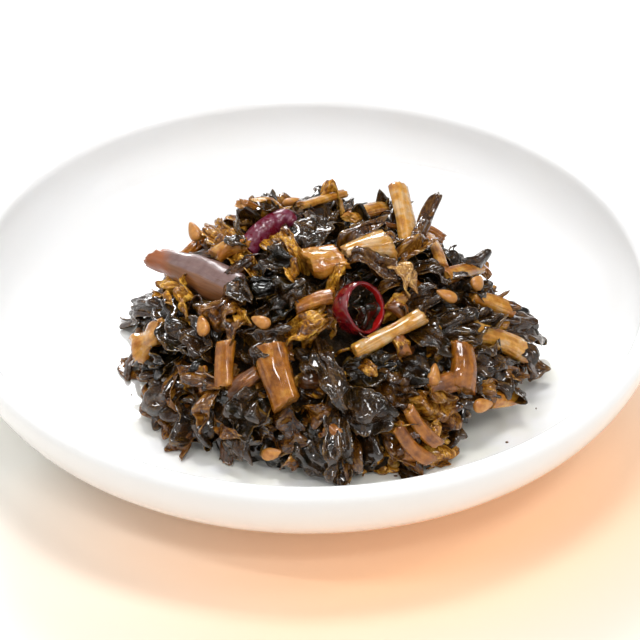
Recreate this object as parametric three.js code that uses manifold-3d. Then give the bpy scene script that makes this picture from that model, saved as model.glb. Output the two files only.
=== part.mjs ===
// A small white porcelain dish with a mound of stir-fried pickled greens: chopped stalks, crumpled leaves,
// sesame seeds, a ring and a strip of red chilli, and one long purple-skinned stalk.
// Millimetres, +Z up. The origin is on the table under the middle of the dish.
// The mound's own right is +X, and its front, where the drooping leaves reach the dish, faces -Y.
import * as THREE from "three";
import { mergeVertices } from "three/addons/utils/BufferGeometryUtils.js";
import Module from "manifold-3d";

const wasm = await Module();
wasm.setup();

// ---------------------------------------------------------------- driving dimensions

const DISH = {
  radius: 49, // outside of the rim
  height: 18,
  rimWidth: 2.9, // the rim is a half round of this width
  floorHeight: 5, // top of the flat floor, above the table
  floorRadius: 28, // where the inside starts to rise
  insideRoundness: 2.2, // exponent of the inside curve: 2 is an ellipse, more is squarer
  bellyRadius: 25, // where the outside curve meets the foot
  bellyHeight: 2.25,
  footOuter: 24.4,
  footInner: 22.2,
  recessHeight: 1.9, // underside of the floor, inside the foot
  segments: 64,
  curveSteps: 7,
  rimSteps: 4,
};

// The outer skin of the mound is a round hill that stands on the dish's floor.
const MOUND = {
  x: 3.5,
  y: -2,
  halfWidth: 28,
  front: 27.5,
  back: 26,
  height: 20,
  steepness: 0.6, // exponent of the hill's profile: 0.5 is an ellipse, more has gentler sides
  slack: 0.7, // how much the back right quarter falls away
  coreDepth: 0.5, // how far the core lies under the skin
  coreBump: 0.6,
};

const SUNK = 3; // the mound is modelled this far below the dish's floor, then cut level
const CLEARANCE = 0.15; // under the mound
const NEST = 0.35; // round a topping that is bedded in the mound
const LEAF_THICKNESS = 0.5;
const ROOT_DEPTH = 1.1; // how far a leaf's near end is tucked under the skin
const GOLDEN_ANGLE = Math.PI * (3 - Math.sqrt(5));

const SEED = { length: 3.3, width: 2.0, thickness: 1.3 };
const RING = {
  middle: [6.8, -14.6, 22.6],
  radius: 3.55,
  wall: 0.65,
  height: 2.9,
  tiltRight: 30,
  tiltUp: 6,
};

// Stalks: both ends as [x, y, lift over the mound's skin], then width and thickness.
const STALKS = [
  { from: [14.5, 4, -1], to: [11.5, 10, 4.4], width: 3.6, thickness: 1.9 }, // tall one at the back
  { from: [17.6, -1, 0.2], to: [16.6, 6, 0.6], width: 1.7, thickness: 1.2 },
  { from: [17.5, -3, -0.4], to: [24, 0.5, 0.9], width: 2.1, thickness: 1.8 },
  { from: [21.5, -6.5, 0], to: [28.6, -2.6, 0.9], width: 2.2, thickness: 1.6 },
  { from: [20.5, -12.5, -0.2], to: [29.5, -7, 1], width: 3.1, thickness: 2.2 }, // split end, right
  { from: [20, -14.6, 0.4], to: [20.6, -20.2, 0.5], width: 3.4, thickness: 2.4 },
  { from: [6.4, -19.8, 0.8], to: [14.8, -13.8, 1.4], width: 1.9, thickness: 1.4 }, // ribbed, under the ring
  { from: [-5.4, -17.6, 1.3], to: [-4.2, -24.8, 0.9], width: 4.0, thickness: 2.2 }, // front post
  { from: [-11.2, -16.4, 1], to: [-12.2, -21.4, 0.8], width: 2.5, thickness: 2.0 },
  { from: [-23, -2.6, -0.4], to: [-21.4, -6.6, 0.2], width: 3.6, thickness: 2.2 },
  { from: [-20.8, 2.6, 0.9], to: [-17.8, -5.2, 0.6], width: 1.2, thickness: 1.0 },
  { from: [-18.4, 0.6, 0.6], to: [-16.6, -3.4, 0.2], width: 3.0, thickness: 1.5 },
  { from: [-14.4, -10.6, 0.8], to: [-8.8, -6.8, 0.8], width: 4.2, thickness: 1.9 },
  { from: [-12.4, 0.2, -0.5], to: [-10, -2.4, 0.2], width: 3.2, thickness: 2.2 },
  { from: [-15, 1.4, 0.6], to: [-11.4, 5.6, 0.8], width: 3.0, thickness: 1.2 },
  { from: [-10, 9.4, 1.2], to: [-3.6, 11.4, 1.8], width: 3.2, thickness: 1.3 },
  { from: [-0.8, 11, 1.2], to: [4.8, 11.4, 1.6], width: 2.6, thickness: 2.6 }, // top edge
  { from: [5.2, -5.6, 0.8], to: [11.4, 0.4, 1.2], width: 3.6, thickness: 2.0 }, // pale, top middle
  { from: [-0.4, -8.2, 0.8], to: [3.6, -4.6, 1.1], width: 4.0, thickness: 2.4 }, // lump, middle
  { from: [-2.2, -13.6, -0.1], to: [3.6, -12.8, 0.4], width: 2.0, thickness: 1.7 },
  { from: [0.2, -12.2, 0.2], to: [3.4, -9.2, 0.8], width: 1.3, thickness: 1.2 },
  { from: [8.6, -11.2, 0.6], to: [12.4, -9.8, 0.8], width: 1.8, thickness: 1.2 },
  { from: [4.4, 4.6, 0.8], to: [8.6, 9.6, 1.4], width: 3.2, thickness: 1.4 },
  { from: [15, -4.6, 0.8], to: [17, -1.8, 1], width: 2.2, thickness: 1.4 },
  { from: [-0.6, -24.8, 0.9], to: [2.2, -26.6, 1], width: 3.4, thickness: 1.6 },
  { from: [11.6, -23.6, 1], to: [16.6, -27.6, 1.2], width: 2.3, thickness: 1.9 }, // fan, front right
  { from: [13.8, -22.6, 1.2], to: [18, -26.2, 1.4], width: 1.9, thickness: 1.7 },
  { from: [12, -27.2, 0.8], to: [14.6, -28.4, 1.2], width: 3.2, thickness: 2.2 },
  { from: [16.8, -22.4, 1], to: [19.8, -24.4, 1.2], width: 2.6, thickness: 1.6 },
  { from: [23.6, -16.6, 0.6], to: [28.4, -15.4, 1.2], width: 2.0, thickness: 1.6 },
  { from: [-17.2, -16.4, -0.6], to: [-15.2, -19.4, 0.3], width: 3.4, thickness: 2.2 },
  { from: [-7.6, -26.2, 0.4], to: [-1.6, -27.2, 0.4], width: 4.2, thickness: 1.6 },
  // behind, where they are of the same kinds as in front
  { from: [-18, 8, 0.4], to: [-12.4, 12.6, 0.9], width: 2.8, thickness: 1.8 },
  { from: [-9.4, 16.4, 0.8], to: [-5.8, 20.4, 0.6], width: 3.4, thickness: 1.9 },
  { from: [1.4, 17, 0], to: [7.4, 18.6, 0.4], width: 2.4, thickness: 1.7 },
  { from: [12.8, 14, 0.9], to: [18.2, 10.6, 1.2], width: 3.0, thickness: 1.9 },
  { from: [21.8, 8.4, 0.6], to: [24.2, 3.2, 1], width: 2.2, thickness: 1.5 },
  { from: [9.4, 21.2, 0.8], to: [14.6, 18.6, 0.8], width: 3.4, thickness: 2.0 },
  { from: [-1, 21.4, 0], to: [3.6, 22, 0.4], width: 2.0, thickness: 1.8 },
];

// Leaves that give the mound its outline: middle on the skin, direction, length, width, how far the far end
// lifts off, and how many folds run along them.
const LEAVES = [
  { at: [2.4, -22.6], turn: 105, size: [14, 2.8], lift: 1.1, tip: 0.2, folds: 2 }, // long drape, front
  { at: [3.4, -28.4], turn: 84, size: [7.5, 4.6], lift: 0.7, tip: -0.4, folds: 2 },
  { at: [8.6, -25], turn: -12, size: [8, 4], lift: 1.3, tip: 0.6, folds: 1 },
  { at: [-0.6, -28.2], turn: -28, size: [8.5, 4.4], lift: 1, tip: 0, folds: 3 },
  { at: [6.8, -28.6], turn: 70, size: [6.5, 3.8], lift: 0.6, tip: 0.3, folds: 2 },
  { at: [-10.6, -22.8], turn: 20, size: [8.6, 6], lift: 1.3, tip: 0.9, folds: 1 }, // cupped leaf
  { at: [-9.6, -27], turn: 250, size: [6.5, 4.6], lift: 0.8, tip: 0.4, folds: 1 },
  { at: [-15.6, -21.6], turn: 300, size: [8, 5], lift: 0.7, tip: 0.3, folds: 2 },
  { at: [-17.6, -24.2], turn: 262, size: [5.4, 2.6], lift: 0.8, tip: 1, folds: 1 },
  { at: [-20.4, -15], turn: 305, size: [10, 5], lift: 0.7, tip: 0.3, folds: 2 },
  { at: [-23, -12], turn: 150, size: [6, 1.4], lift: 0.9, tip: 2.2, folds: 1 }, // thin tail, left
  { at: [-24.6, 0.6], turn: 190, size: [6, 1.8], lift: 0.8, tip: 2.2, folds: 1 }, // curly tail, left
  { at: [-22.6, 3.2], turn: 200, size: [7, 4.4], lift: 0.6, tip: 0.8, folds: 2 },
  { at: [-18.8, -6.4], turn: 80, size: [7.5, 4.6], lift: 0.9, tip: 0.4, folds: 2 },
  { at: [-17, -11.2], turn: 10, size: [8, 5], lift: 0.9, tip: 0.6, folds: 3 },
  { at: [-13.4, -15.6], turn: 330, size: [7, 4], lift: 0.7, tip: 0.5, folds: 2 },
  { at: [-4.8, -4.4], turn: 40, size: [5.6, 4.2], lift: 1.2, tip: 0.6, folds: 1 },
  { at: [0.6, 3.4], turn: 80, size: [7.5, 5.4], lift: 1.6, tip: 1.2, folds: 1 }, // dark leaf at the top
  { at: [-3.8, -10.2], turn: 25, size: [8, 4.4], lift: 0.9, tip: 0.6, folds: 3 },
  { at: [-5.8, -14], turn: 350, size: [6.6, 4.4], lift: 0.9, tip: 0.4, folds: 2 },
  { at: [-8.2, -17.2], turn: 55, size: [6.6, 3.6], lift: 1.3, tip: 0.9, folds: 2 },
  { at: [-1.4, -16.6], turn: 18, size: [8, 3.4], lift: 1.1, tip: 0.7, folds: 1 },
  { at: [0.4, -20.4], turn: 320, size: [6.4, 4], lift: 1, tip: 0.4, folds: 2 },
  { at: [21.2, -10.8], turn: 20, size: [7.4, 4.2], lift: 1.1, tip: 0.6, folds: 3 },
  { at: [29.4, -1.6], turn: 300, size: [7.4, 5], lift: 0.6, tip: 0.8, folds: 2 },
  { at: [26.4, -12.6], turn: 330, size: [9, 5.4], lift: 0.7, tip: 0.5, folds: 3 },
  { at: [23.4, -18], turn: 345, size: [8, 4.4], lift: 0.6, tip: 0.6, folds: 2 },
  { at: [15.4, -16], turn: 285, size: [6.4, 4.2], lift: 1.2, tip: 0.7, folds: 1 },
  { at: [15.2, -10.4], turn: 5, size: [8, 4], lift: 1, tip: 0.6, folds: 3 },
  { at: [8.8, -7.8], turn: 335, size: [8.4, 3.6], lift: 1.1, tip: 0.5, folds: 1 },
  { at: [12.8, -5.2], turn: 70, size: [5, 3.4], lift: 1.3, tip: 0.6, folds: 1 },
  { at: [17.4, 5], turn: 62, size: [8.6, 1.8], lift: 1.4, tip: 4.2, folds: 1 }, // curled tip, back right
  { at: [20, -4.4], turn: 350, size: [6, 4.4], lift: 0.8, tip: 0.4, folds: 2 },
  { at: [12, -20.4], turn: 335, size: [7.4, 4.6], lift: 1, tip: 0.6, folds: 2 },
  { at: [7.4, -21.6], turn: 20, size: [6.6, 4], lift: 0.9, tip: 0.4, folds: 3 },
  { at: [17, -22], turn: 10, size: [7, 3.6], lift: 1.1, tip: 0.9, folds: 1 },
  { at: [19.4, -27.4], turn: 60, size: [5.4, 3.2], lift: 0.4, tip: 0.9, folds: 1 }, // pale flap, front right
  { at: [-9.6, 6.6], turn: 15, size: [6.6, 4], lift: 1, tip: 0.6, folds: 1 },
  { at: [5.4, 0.6], turn: 12, size: [7, 3.4], lift: 1, tip: 0.6, folds: 2 },
  { at: [10.6, 6.6], turn: 50, size: [7, 3.6], lift: 0.9, tip: 0.9, folds: 2 },
];

const BACK_LEAVES = { count: 16, seed: 20, length: [6.5, 9], width: [3.4, 5], lift: [0.6, 1.2] };

// Sesame seeds: place on the skin, direction, and lift.
const SEEDS = [
  { at: [-15.4, 4.4], turn: 96, lift: 1.3 },
  { at: [-14.8, -10.6], turn: 104, lift: 2.2 },
  { at: [-6.3, -15.6], turn: 148, lift: 2.3 },
  { at: [23, -3.4], turn: 68, lift: 1.6 },
  { at: [18.9, -8.4], turn: 172, lift: 1.9 },
  { at: [17.1, -20.2], turn: 84, lift: 1.6 },
  { at: [24.4, -18.4], turn: 8, lift: 1.8 },
  { at: [-5.2, -27.4], turn: 12, lift: 0.6 },
  { at: [-14.4, -18.6], turn: 88, lift: 1.8 },
  { at: [-2, 14.4], turn: 30, lift: 2 },
  { at: [14, 12.2], turn: 120, lift: 2 },
  { at: [-12.6, 14.6], turn: 60, lift: 0.6 },
];

// Large pieces bedded in the mound, with their ends as [x, y, height over the table].
const PURPLE_STALK = {
  from: [-21.6, 3.4, 17.6],
  to: [-9.4, -8, 21.4],
  width: 4.8,
  thickness: 3.4,
  arch: 1.2,
};
const CHILLI_STRIP = {
  path: [[-8.8, 0.8, 22.4], [-6.4, 5, 24], [-3.4, 8, 24.2], [-1.4, 5.2, 24.6]],
  width: 2.4,
  wall: 0.6,
};

// ---------------------------------------------------------------- helpers

const degrees = THREE.MathUtils.degToRad;
const mix = THREE.MathUtils.lerp;
const ACROSS = new THREE.Vector3(1, 0, 0);

// A repeatable draw of numbers from 0 to 1.
function draws(seed) {
  let state = seed;
  return () => {
    state = (state * 16807) % 2147483647;
    return state / 2147483647;
  };
}

// A closed three.js geometry as a solid that can be joined and cut.
function solidOf(geometry) {
  const bare = geometry.index ? geometry.toNonIndexed() : geometry.clone();
  const only = new THREE.BufferGeometry().setAttribute("position", bare.getAttribute("position"));
  const merged = mergeVertices(only, 1e-4);
  const corners = [...merged.index.array];
  const faces = [];
  for (let i = 0; i < corners.length; i += 3) {
    const [a, b, c] = corners.slice(i, i + 3);
    if (a !== b && b !== c && c !== a) faces.push(a, b, c);
  }
  return new wasm.Manifold(
    new wasm.Mesh({
      numProp: 3,
      vertProperties: new Float32Array(merged.getAttribute("position").array),
      triVerts: new Uint32Array(faces),
    }),
  );
}

function geometryOf(solid) {
  const mesh = solid.getMesh();
  const geometry = new THREE.BufferGeometry();
  geometry.setAttribute("position", new THREE.BufferAttribute(new Float32Array(mesh.vertProperties), 3));
  geometry.setIndex(new THREE.BufferAttribute(new Uint32Array(mesh.triVerts), 1));
  geometry.computeVertexNormals();
  return geometry;
}

// Moves every vertex of a geometry to where place(vertex) puts it.
function reshape(geometry, place) {
  const position = geometry.getAttribute("position");
  const vertex = new THREE.Vector3();
  for (let i = 0; i < position.count; i++) {
    const moved = place(vertex.fromBufferAttribute(position, i).clone(), i);
    position.setXYZ(i, moved.x, moved.y, moved.z);
  }
  return geometry;
}

// A sheet of even thickness over a plane grid, both faces split into triangles alike.
function thickSheet(length, width, stepsAlong, stepsAcross, place) {
  const plane = new THREE.PlaneGeometry(length, width, stepsAlong, stepsAcross);
  const position = plane.getAttribute("position");
  const columns = stepsAlong + 1;
  const rows = stepsAcross + 1;
  const points = [];
  for (const side of [1, -1]) {
    for (let i = 0; i < position.count; i++) {
      points.push(...place(position.getX(i), position.getY(i), side).toArray());
    }
  }
  const faces = [];
  const under = position.count;
  const top = plane.index.array;
  for (let i = 0; i < top.length; i += 3) {
    faces.push(top[i], top[i + 1], top[i + 2]);
    faces.push(under + top[i], under + top[i + 2], under + top[i + 1]);
  }
  const edge = [];
  for (let c = 0; c < columns - 1; c++) edge.push(c);
  for (let r = 0; r < rows - 1; r++) edge.push(r * columns + columns - 1);
  for (let c = columns - 1; c > 0; c--) edge.push((rows - 1) * columns + c);
  for (let r = rows - 1; r > 0; r--) edge.push(r * columns);
  edge.forEach((a, i) => {
    const b = edge[(i + 1) % edge.length];
    faces.push(a, b, under + b, a, under + b, under + a);
  });
  const sheet = new THREE.BufferGeometry();
  sheet.setAttribute("position", new THREE.BufferAttribute(new Float32Array(points), 3));
  sheet.setIndex(faces);
  return sheet;
}

// ---------------------------------------------------------------- the mound's skin

const MOUND_FOOT = new THREE.Vector3(MOUND.x, MOUND.y, DISH.floorHeight);

function halfDepth(y) {
  return y < 0 ? MOUND.front : MOUND.back;
}

// Height of the skin over a place on the floor, or 0 beyond the foot.
function skinRise(x, y) {
  const across = (x - MOUND.x) / MOUND.halfWidth;
  const along = (y - MOUND.y) / halfDepth(y - MOUND.y);
  const slack = MOUND.slack * Math.max(0, across) * Math.max(0, along);
  return MOUND.height * Math.max(0, 1 - across ** 2 - along ** 2 - slack) ** MOUND.steepness;
}

// Where a ray from the middle of the mound's foot leaves the skin, moved out by lift.
function alongRay(direction, lift) {
  const d = direction.clone().normalize();
  let inside = 0;
  let outside = 2 * MOUND.halfWidth;
  for (let step = 0; step < 24; step++) {
    const reach = (inside + outside) / 2;
    const rise = skinRise(MOUND.x + d.x * reach, MOUND.y + d.y * reach);
    if (rise > 0 && d.z * reach < rise && d.z * reach > -SUNK) inside = reach;
    else outside = reach;
  }
  return MOUND_FOOT.clone().addScaledVector(d, inside + lift);
}

// A place on the skin: its point, its outward normal, and the two directions along the skin that are
// nearest to the mound's right and to its back.
function onSkin(x, y) {
  const rise = skinRise(x, y);
  const point = new THREE.Vector3(x, y, DISH.floorHeight + rise);
  const slope = 2 * MOUND.steepness * MOUND.height;
  const flatness = Math.max(rise / MOUND.height, 0.05) ** (1 / MOUND.steepness - 1);
  const normal = new THREE.Vector3(
    (slope * (x - MOUND.x)) / MOUND.halfWidth ** 2,
    (slope * (y - MOUND.y)) / halfDepth(y - MOUND.y) ** 2,
    flatness,
  ).normalize();
  const right = ACROSS.clone().addScaledVector(normal, -normal.x).normalize();
  const back = new THREE.Vector3().crossVectors(normal, right);
  return { point, normal, right, back };
}

// Two directions along the skin, turned from the mound's right towards its back.
function headings(at, turn) {
  const { point, normal, right, back } = onSkin(...at);
  const along = right.multiplyScalar(Math.cos(degrees(turn))).addScaledVector(back, Math.sin(degrees(turn)));
  return { point, normal, along, across: new THREE.Vector3().crossVectors(normal, along) };
}

function lifted([x, y, lift]) {
  const { point, normal } = onSkin(x, y);
  return point.addScaledVector(normal, lift);
}

// ---------------------------------------------------------------- pieces

// Quarter of a superellipse from (0, -1) to (1, 0).
function quarterCurve(steps, exponent) {
  return Array.from({ length: steps + 1 }, (_, i) => {
    const angle = (i / steps) * (Math.PI / 2);
    return [Math.sin(angle) ** (2 / exponent), -(Math.cos(angle) ** (2 / exponent))];
  });
}

// The dish's inside from the axis to the rim, moved in by clearance.
function insideProfile(clearance = 0) {
  const rimInner = DISH.radius - DISH.rimWidth;
  const rimHeight = DISH.height - DISH.rimWidth / 2;
  const curve = quarterCurve(DISH.curveSteps, DISH.insideRoundness).map(
    ([out, down]) =>
      new THREE.Vector2(
        mix(DISH.floorRadius, rimInner, out) - clearance * out,
        rimHeight + down * (rimHeight - DISH.floorHeight) + clearance,
      ),
  );
  return [new THREE.Vector2(0, DISH.floorHeight + clearance), ...curve];
}

// Geometry turned about the axis, as three.js lathes it about +Y, then stood up along +Z.
function turned(profile) {
  const lathe = new THREE.LatheGeometry(profile, DISH.segments);
  return lathe.rotateX(Math.PI / 2);
}

function dishGeometry() {
  const rimRadius = DISH.rimWidth / 2;
  const rimHeight = DISH.height - rimRadius;
  const rim = Array.from({ length: DISH.rimSteps - 1 }, (_, i) => {
    const angle = Math.PI * (1 - (i + 1) / DISH.rimSteps);
    return new THREE.Vector2(
      DISH.radius - rimRadius + rimRadius * Math.cos(angle),
      rimHeight + rimRadius * Math.sin(angle),
    );
  });
  const outside = quarterCurve(DISH.curveSteps, 2)
    .reverse()
    .map(
      ([out, down]) =>
        new THREE.Vector2(
          mix(DISH.bellyRadius, DISH.radius, out),
          rimHeight + down * (rimHeight - DISH.bellyHeight),
        ),
    );
  const foot = [
    new THREE.Vector2(DISH.footOuter, 0),
    new THREE.Vector2(DISH.footInner, 0),
    new THREE.Vector2(DISH.footInner - 0.6, DISH.recessHeight),
    new THREE.Vector2(0, DISH.recessHeight),
  ];
  const profile = [...insideProfile(), ...rim, ...outside, ...foot];
  return geometryOf(solidOf(turned(profile.reverse())));
}

// Everything under the dish's inside surface and a little above it, which the mound stays out of.
function underMound() {
  const inside = insideProfile(CLEARANCE);
  const below = [new THREE.Vector2(DISH.radius + 20, DISH.height), new THREE.Vector2(DISH.radius + 20, -20)];
  const profile = [...inside, ...below, new THREE.Vector2(0, -20)];
  return solidOf(turned(profile.reverse()));
}

// The packed middle of the mound, with low bumps where pieces press through.
function core() {
  const ball = new THREE.SphereGeometry(1, 20, 12).rotateX(Math.PI / 2);
  return reshape(ball, (v) => {
    const bump =
      MOUND.coreBump * (Math.sin(7 * v.x + 3 * v.z) * Math.cos(6 * v.y) + Math.sin(9 * v.y - 5 * v.x) / 2);
    return alongRay(v, bump - MOUND.coreDepth);
  });
}

// A chopped stalk: a flattened tube with a shallow groove along its upper side, bowed a little upwards.
function stalk(start, end, { width, thickness, arch = 0.35 }, sides = 6, steps = 2) {
  const axis = end.clone().sub(start);
  const { normal } = onSkin((start.x + end.x) / 2, (start.y + end.y) / 2);
  const side = new THREE.Vector3().crossVectors(axis, normal).normalize();
  const over = new THREE.Vector3().crossVectors(side, axis).normalize();
  const tube = new THREE.CylinderGeometry(1, 1, 1, sides, steps);
  return reshape(tube, (v) => {
    const along = v.y + 0.5;
    const groove = v.z > 0.9 ? 0.72 : 1;
    return start
      .clone()
      .addScaledVector(axis, along)
      .addScaledVector(side, (v.x * width) / 2)
      .addScaledVector(over, (v.z * groove * thickness) / 2 + arch * Math.sin(Math.PI * along));
  });
}

function purpleStalkGeometry(room) {
  const { from, to, width, thickness, arch } = PURPLE_STALK;
  const start = new THREE.Vector3(...from);
  const end = new THREE.Vector3(...to);
  const spare = end.clone().sub(start).setLength(room);
  const section = { width: width + 2 * room, thickness: thickness + 2 * room, arch };
  return stalk(start.sub(spare), end.add(spare), section, 12, 8);
}

// A crumpled leaf: a thin wavy sheet laid over the skin, folded lengthwise, with its far end lifted.
function leaf({ at, turn, size, lift, tip, folds }) {
  const [length, width] = size;
  const { point, along, across } = headings(at, turn);
  return thickSheet(length, width, length > 7.4 ? 4 : 3, 2, (s, t, face) => {
    const share = s / length; // -0.5 to 0.5
    const taper = 1 - 0.9 * share ** 2 - 0.25 * share;
    const spot = point.clone().addScaledVector(along, s).addScaledVector(across, t * taper);
    const wave =
      0.45 * Math.sin(3.1 * folds * (t / width) * 2 + 2.2 * share + folds) + 0.35 * Math.sin(5.5 * share + folds);
    const root = THREE.MathUtils.smoothstep(share, -0.5, -0.1);
    const raised = mix(-ROOT_DEPTH, lift + wave, root) + tip * Math.max(0, share + 0.1) ** 2 * 3;
    return alongRay(spot.sub(MOUND_FOOT), raised + (face * LEAF_THICKNESS) / 2);
  });
}

function sesameSeed({ at, turn, lift }) {
  const { point, normal, along, across } = headings(at, turn);
  const middle = point.clone().addScaledVector(normal, lift - SEED.thickness / 2);
  return reshape(new THREE.SphereGeometry(1, 5, 4), (v) =>
    middle
      .clone()
      .addScaledVector(along, (v.y * SEED.length) / 2)
      .addScaledVector(across, ((-v.x * SEED.width) / 2) * (1 + 0.3 * v.y))
      .addScaledVector(normal, (v.z * SEED.thickness) / 2),
  );
}

// Leaves of the hidden side, spread by the golden angle over the back half of the skin.
function backLeaves() {
  const draw = draws(BACK_LEAVES.seed);
  return Array.from({ length: BACK_LEAVES.count }, (_, i) => {
    const reach = Math.sqrt((i + 0.5) / BACK_LEAVES.count);
    const angle = (i * GOLDEN_ANGLE) % Math.PI;
    const x = MOUND.x + reach * MOUND.halfWidth * 0.94 * Math.cos(angle);
    const y = MOUND.y + 4 + reach * (MOUND.back - 4) * 0.92 * Math.sin(angle);
    return {
      at: [x, y],
      turn: 360 * draw(),
      size: [mix(...BACK_LEAVES.length, draw()), mix(...BACK_LEAVES.width, draw())],
      lift: mix(...BACK_LEAVES.lift, draw()),
      tip: 0.9 * draw(),
      folds: 1 + Math.floor(3 * draw()),
    };
  });
}

// A slice across a chilli: a short open tube whose near end looks out over the front of the mound.
const OUT_AND_UP = new THREE.Vector3(0, -Math.cos(degrees(35.5)), Math.sin(degrees(35.5)));

function chilliRing(outer, inner, height) {
  const corners = [
    new THREE.Vector2(inner, -height / 2),
    new THREE.Vector2(outer, -height / 2),
    new THREE.Vector2(outer, height / 2),
    new THREE.Vector2(inner, height / 2),
  ];
  const lathe = new THREE.LatheGeometry([...corners, corners[0]], 24);
  const upward = new THREE.Vector3().crossVectors(OUT_AND_UP, ACROSS);
  const axis = OUT_AND_UP.clone()
    .addScaledVector(ACROSS, Math.tan(degrees(RING.tiltRight)))
    .addScaledVector(upward, Math.tan(degrees(RING.tiltUp)))
    .normalize();
  const turn = new THREE.Quaternion().setFromUnitVectors(new THREE.Vector3(0, 1, 0), axis);
  return lathe.applyQuaternion(turn).translate(...RING.middle);
}

// A strip of chilli skin along a bent path, hollow underneath.
function chilliStrip(width, wall) {
  const path = new THREE.CatmullRomCurve3(CHILLI_STRIP.path.map((place) => new THREE.Vector3(...place)));
  const steps = 12;
  return thickSheet(1, width, steps, 2, (s, t, face) => {
    const u = THREE.MathUtils.clamp(s + 0.5, 0, 1);
    const middle = path.getPoint(u);
    const ahead = path.getTangent(u);
    const across = new THREE.Vector3().crossVectors(OUT_AND_UP, ahead).normalize();
    const out = new THREE.Vector3().crossVectors(ahead, across);
    const hollow = 0.5 * (1 - ((2 * t) / width) ** 2);
    return middle.addScaledVector(across, t).addScaledVector(out, hollow + (face * wall) / 2);
  });
}

// ---------------------------------------------------------------- assembly

function largestPiece(solid) {
  return solid.decompose().sort((a, b) => b.volume() - a.volume())[0];
}

// Toppings that are bedded in the mound stay whole, and the mound is cut round them.
const purpleStalk = solidOf(purpleStalkGeometry(0));
const ring = solidOf(chilliRing(RING.radius, RING.radius - RING.wall, RING.height));
const strip = solidOf(chilliStrip(CHILLI_STRIP.width, CHILLI_STRIP.wall));

function nests() {
  const grow = (value) => value + 2 * NEST;
  return [
    solidOf(purpleStalkGeometry(NEST)),
    solidOf(chilliRing(RING.radius + NEST, RING.radius - RING.wall - NEST, grow(RING.height))),
    solidOf(chilliStrip(grow(CHILLI_STRIP.width), grow(CHILLI_STRIP.wall))),
  ];
}

function greensGeometry() {
  const pieces = [
    core(),
    ...STALKS.map((piece) => stalk(lifted(piece.from), lifted(piece.to), piece)),
    ...[...LEAVES, ...backLeaves()].map(leaf),
    ...SEEDS.map(sesameSeed),
  ].map(solidOf);
  const heap = wasm.Manifold.union(pieces);
  const free = wasm.Manifold.difference([heap, underMound(), ...nests()]);
  return geometryOf(largestPiece(free));
}

function meshOf(name, geometry, color, roughness) {
  const mesh = new THREE.Mesh(geometry, new THREE.MeshStandardMaterial({ color, roughness, metalness: 0 }));
  mesh.name = name;
  return mesh;
}

const bowlOfGreens = new THREE.Group();
bowlOfGreens.add(
  meshOf("dish", dishGeometry(), 0xf7f6f4, 0.12),
  meshOf("greens_mound", greensGeometry(), 0x3a2f14, 0.35),
  meshOf("purple_stalk", geometryOf(purpleStalk), 0x7d4a36, 0.3),
  meshOf("chilli_ring", geometryOf(ring), 0x8c0f14, 0.2),
  meshOf("chilli_strip", geometryOf(strip), 0x6d2440, 0.3),
);

export default bowlOfGreens;
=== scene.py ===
"""A small white porcelain dish with a mound of stir-fried pickled greens.

Laid out as a Blender add-on and run as a script. Lengths are millimetres until a mesh is written, and angles
are degrees. +X is the mound's right, -Y its front, +Z up; the origin is under the middle of the dish.
"""

import math
from collections import namedtuple

import bmesh
import bpy
import numpy as np
from mathutils import Euler, Matrix, Vector


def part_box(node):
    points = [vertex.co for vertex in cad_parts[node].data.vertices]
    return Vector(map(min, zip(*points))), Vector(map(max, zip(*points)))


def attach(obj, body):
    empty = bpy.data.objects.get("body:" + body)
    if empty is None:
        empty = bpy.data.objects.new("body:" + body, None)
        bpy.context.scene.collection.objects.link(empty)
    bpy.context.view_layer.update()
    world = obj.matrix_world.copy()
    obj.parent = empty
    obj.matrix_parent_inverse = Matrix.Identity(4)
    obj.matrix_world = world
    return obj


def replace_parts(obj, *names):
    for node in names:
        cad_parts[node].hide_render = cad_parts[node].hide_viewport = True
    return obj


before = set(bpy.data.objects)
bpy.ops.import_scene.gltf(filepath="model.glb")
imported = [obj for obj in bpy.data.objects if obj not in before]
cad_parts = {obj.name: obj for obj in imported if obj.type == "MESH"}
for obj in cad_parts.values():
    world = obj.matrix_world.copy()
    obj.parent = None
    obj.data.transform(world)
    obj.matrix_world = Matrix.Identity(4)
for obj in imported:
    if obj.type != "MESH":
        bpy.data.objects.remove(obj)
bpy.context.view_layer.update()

bl_info = {
    "name": "Dish of Pickled Greens",
    "version": (1, 0, 0),
    "blender": (4, 5, 0),
    "location": "View3D > Sidebar > Pickled Greens",
    "description": "Builds a porcelain dish with stir-fried pickled greens, sesame and chilli",
    "category": "Add Mesh",
}

MM = 0.001
BODY = "root"
TURN = 2 * math.pi
GOLDEN_ANGLE = math.pi * (3 - math.sqrt(5))
VIEW_TILT = math.radians(35.5)  # the camera over the horizon
TO_CAMERA = np.array([0, -math.cos(VIEW_TILT), math.sin(VIEW_TILT)])

# ---------------------------------------------------------------- the mound's outer skin

MOUND_X, MOUND_Y = 3.5, -2.0
MOUND_HALF_WIDTH = 28.0
MOUND_FRONT, MOUND_BACK = 27.5, 26.0
MOUND_HEIGHT = 20.0
MOUND_STEEPNESS = 0.6
MOUND_SLACK = 0.7  # how much the back right quarter falls away
FLOOR_HEIGHT = 5.0  # the dish's inner floor over the table
MOUND_FOOT = np.array([MOUND_X, MOUND_Y, FLOOR_HEIGHT])
RIM_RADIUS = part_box("dish")[1][0] / MM
DISH_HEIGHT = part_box("dish")[1][2] / MM
RIM_WIDTH = 2.9
RIM_INNER, RIM_MIDDLE = RIM_RADIUS - RIM_WIDTH, DISH_HEIGHT - RIM_WIDTH / 2
FLOOR_RADIUS = 28.0
INSIDE_ROUNDNESS = 2.2
PRESSED_FROM, PRESSED_DEPTH = 25.9, 1.4  # loose pieces end softly under the sum of these
LOOSE_GAP = 0.3  # between loose pieces and the glaze
HALVINGS = 18  # of the search for the skin along a ray


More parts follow.
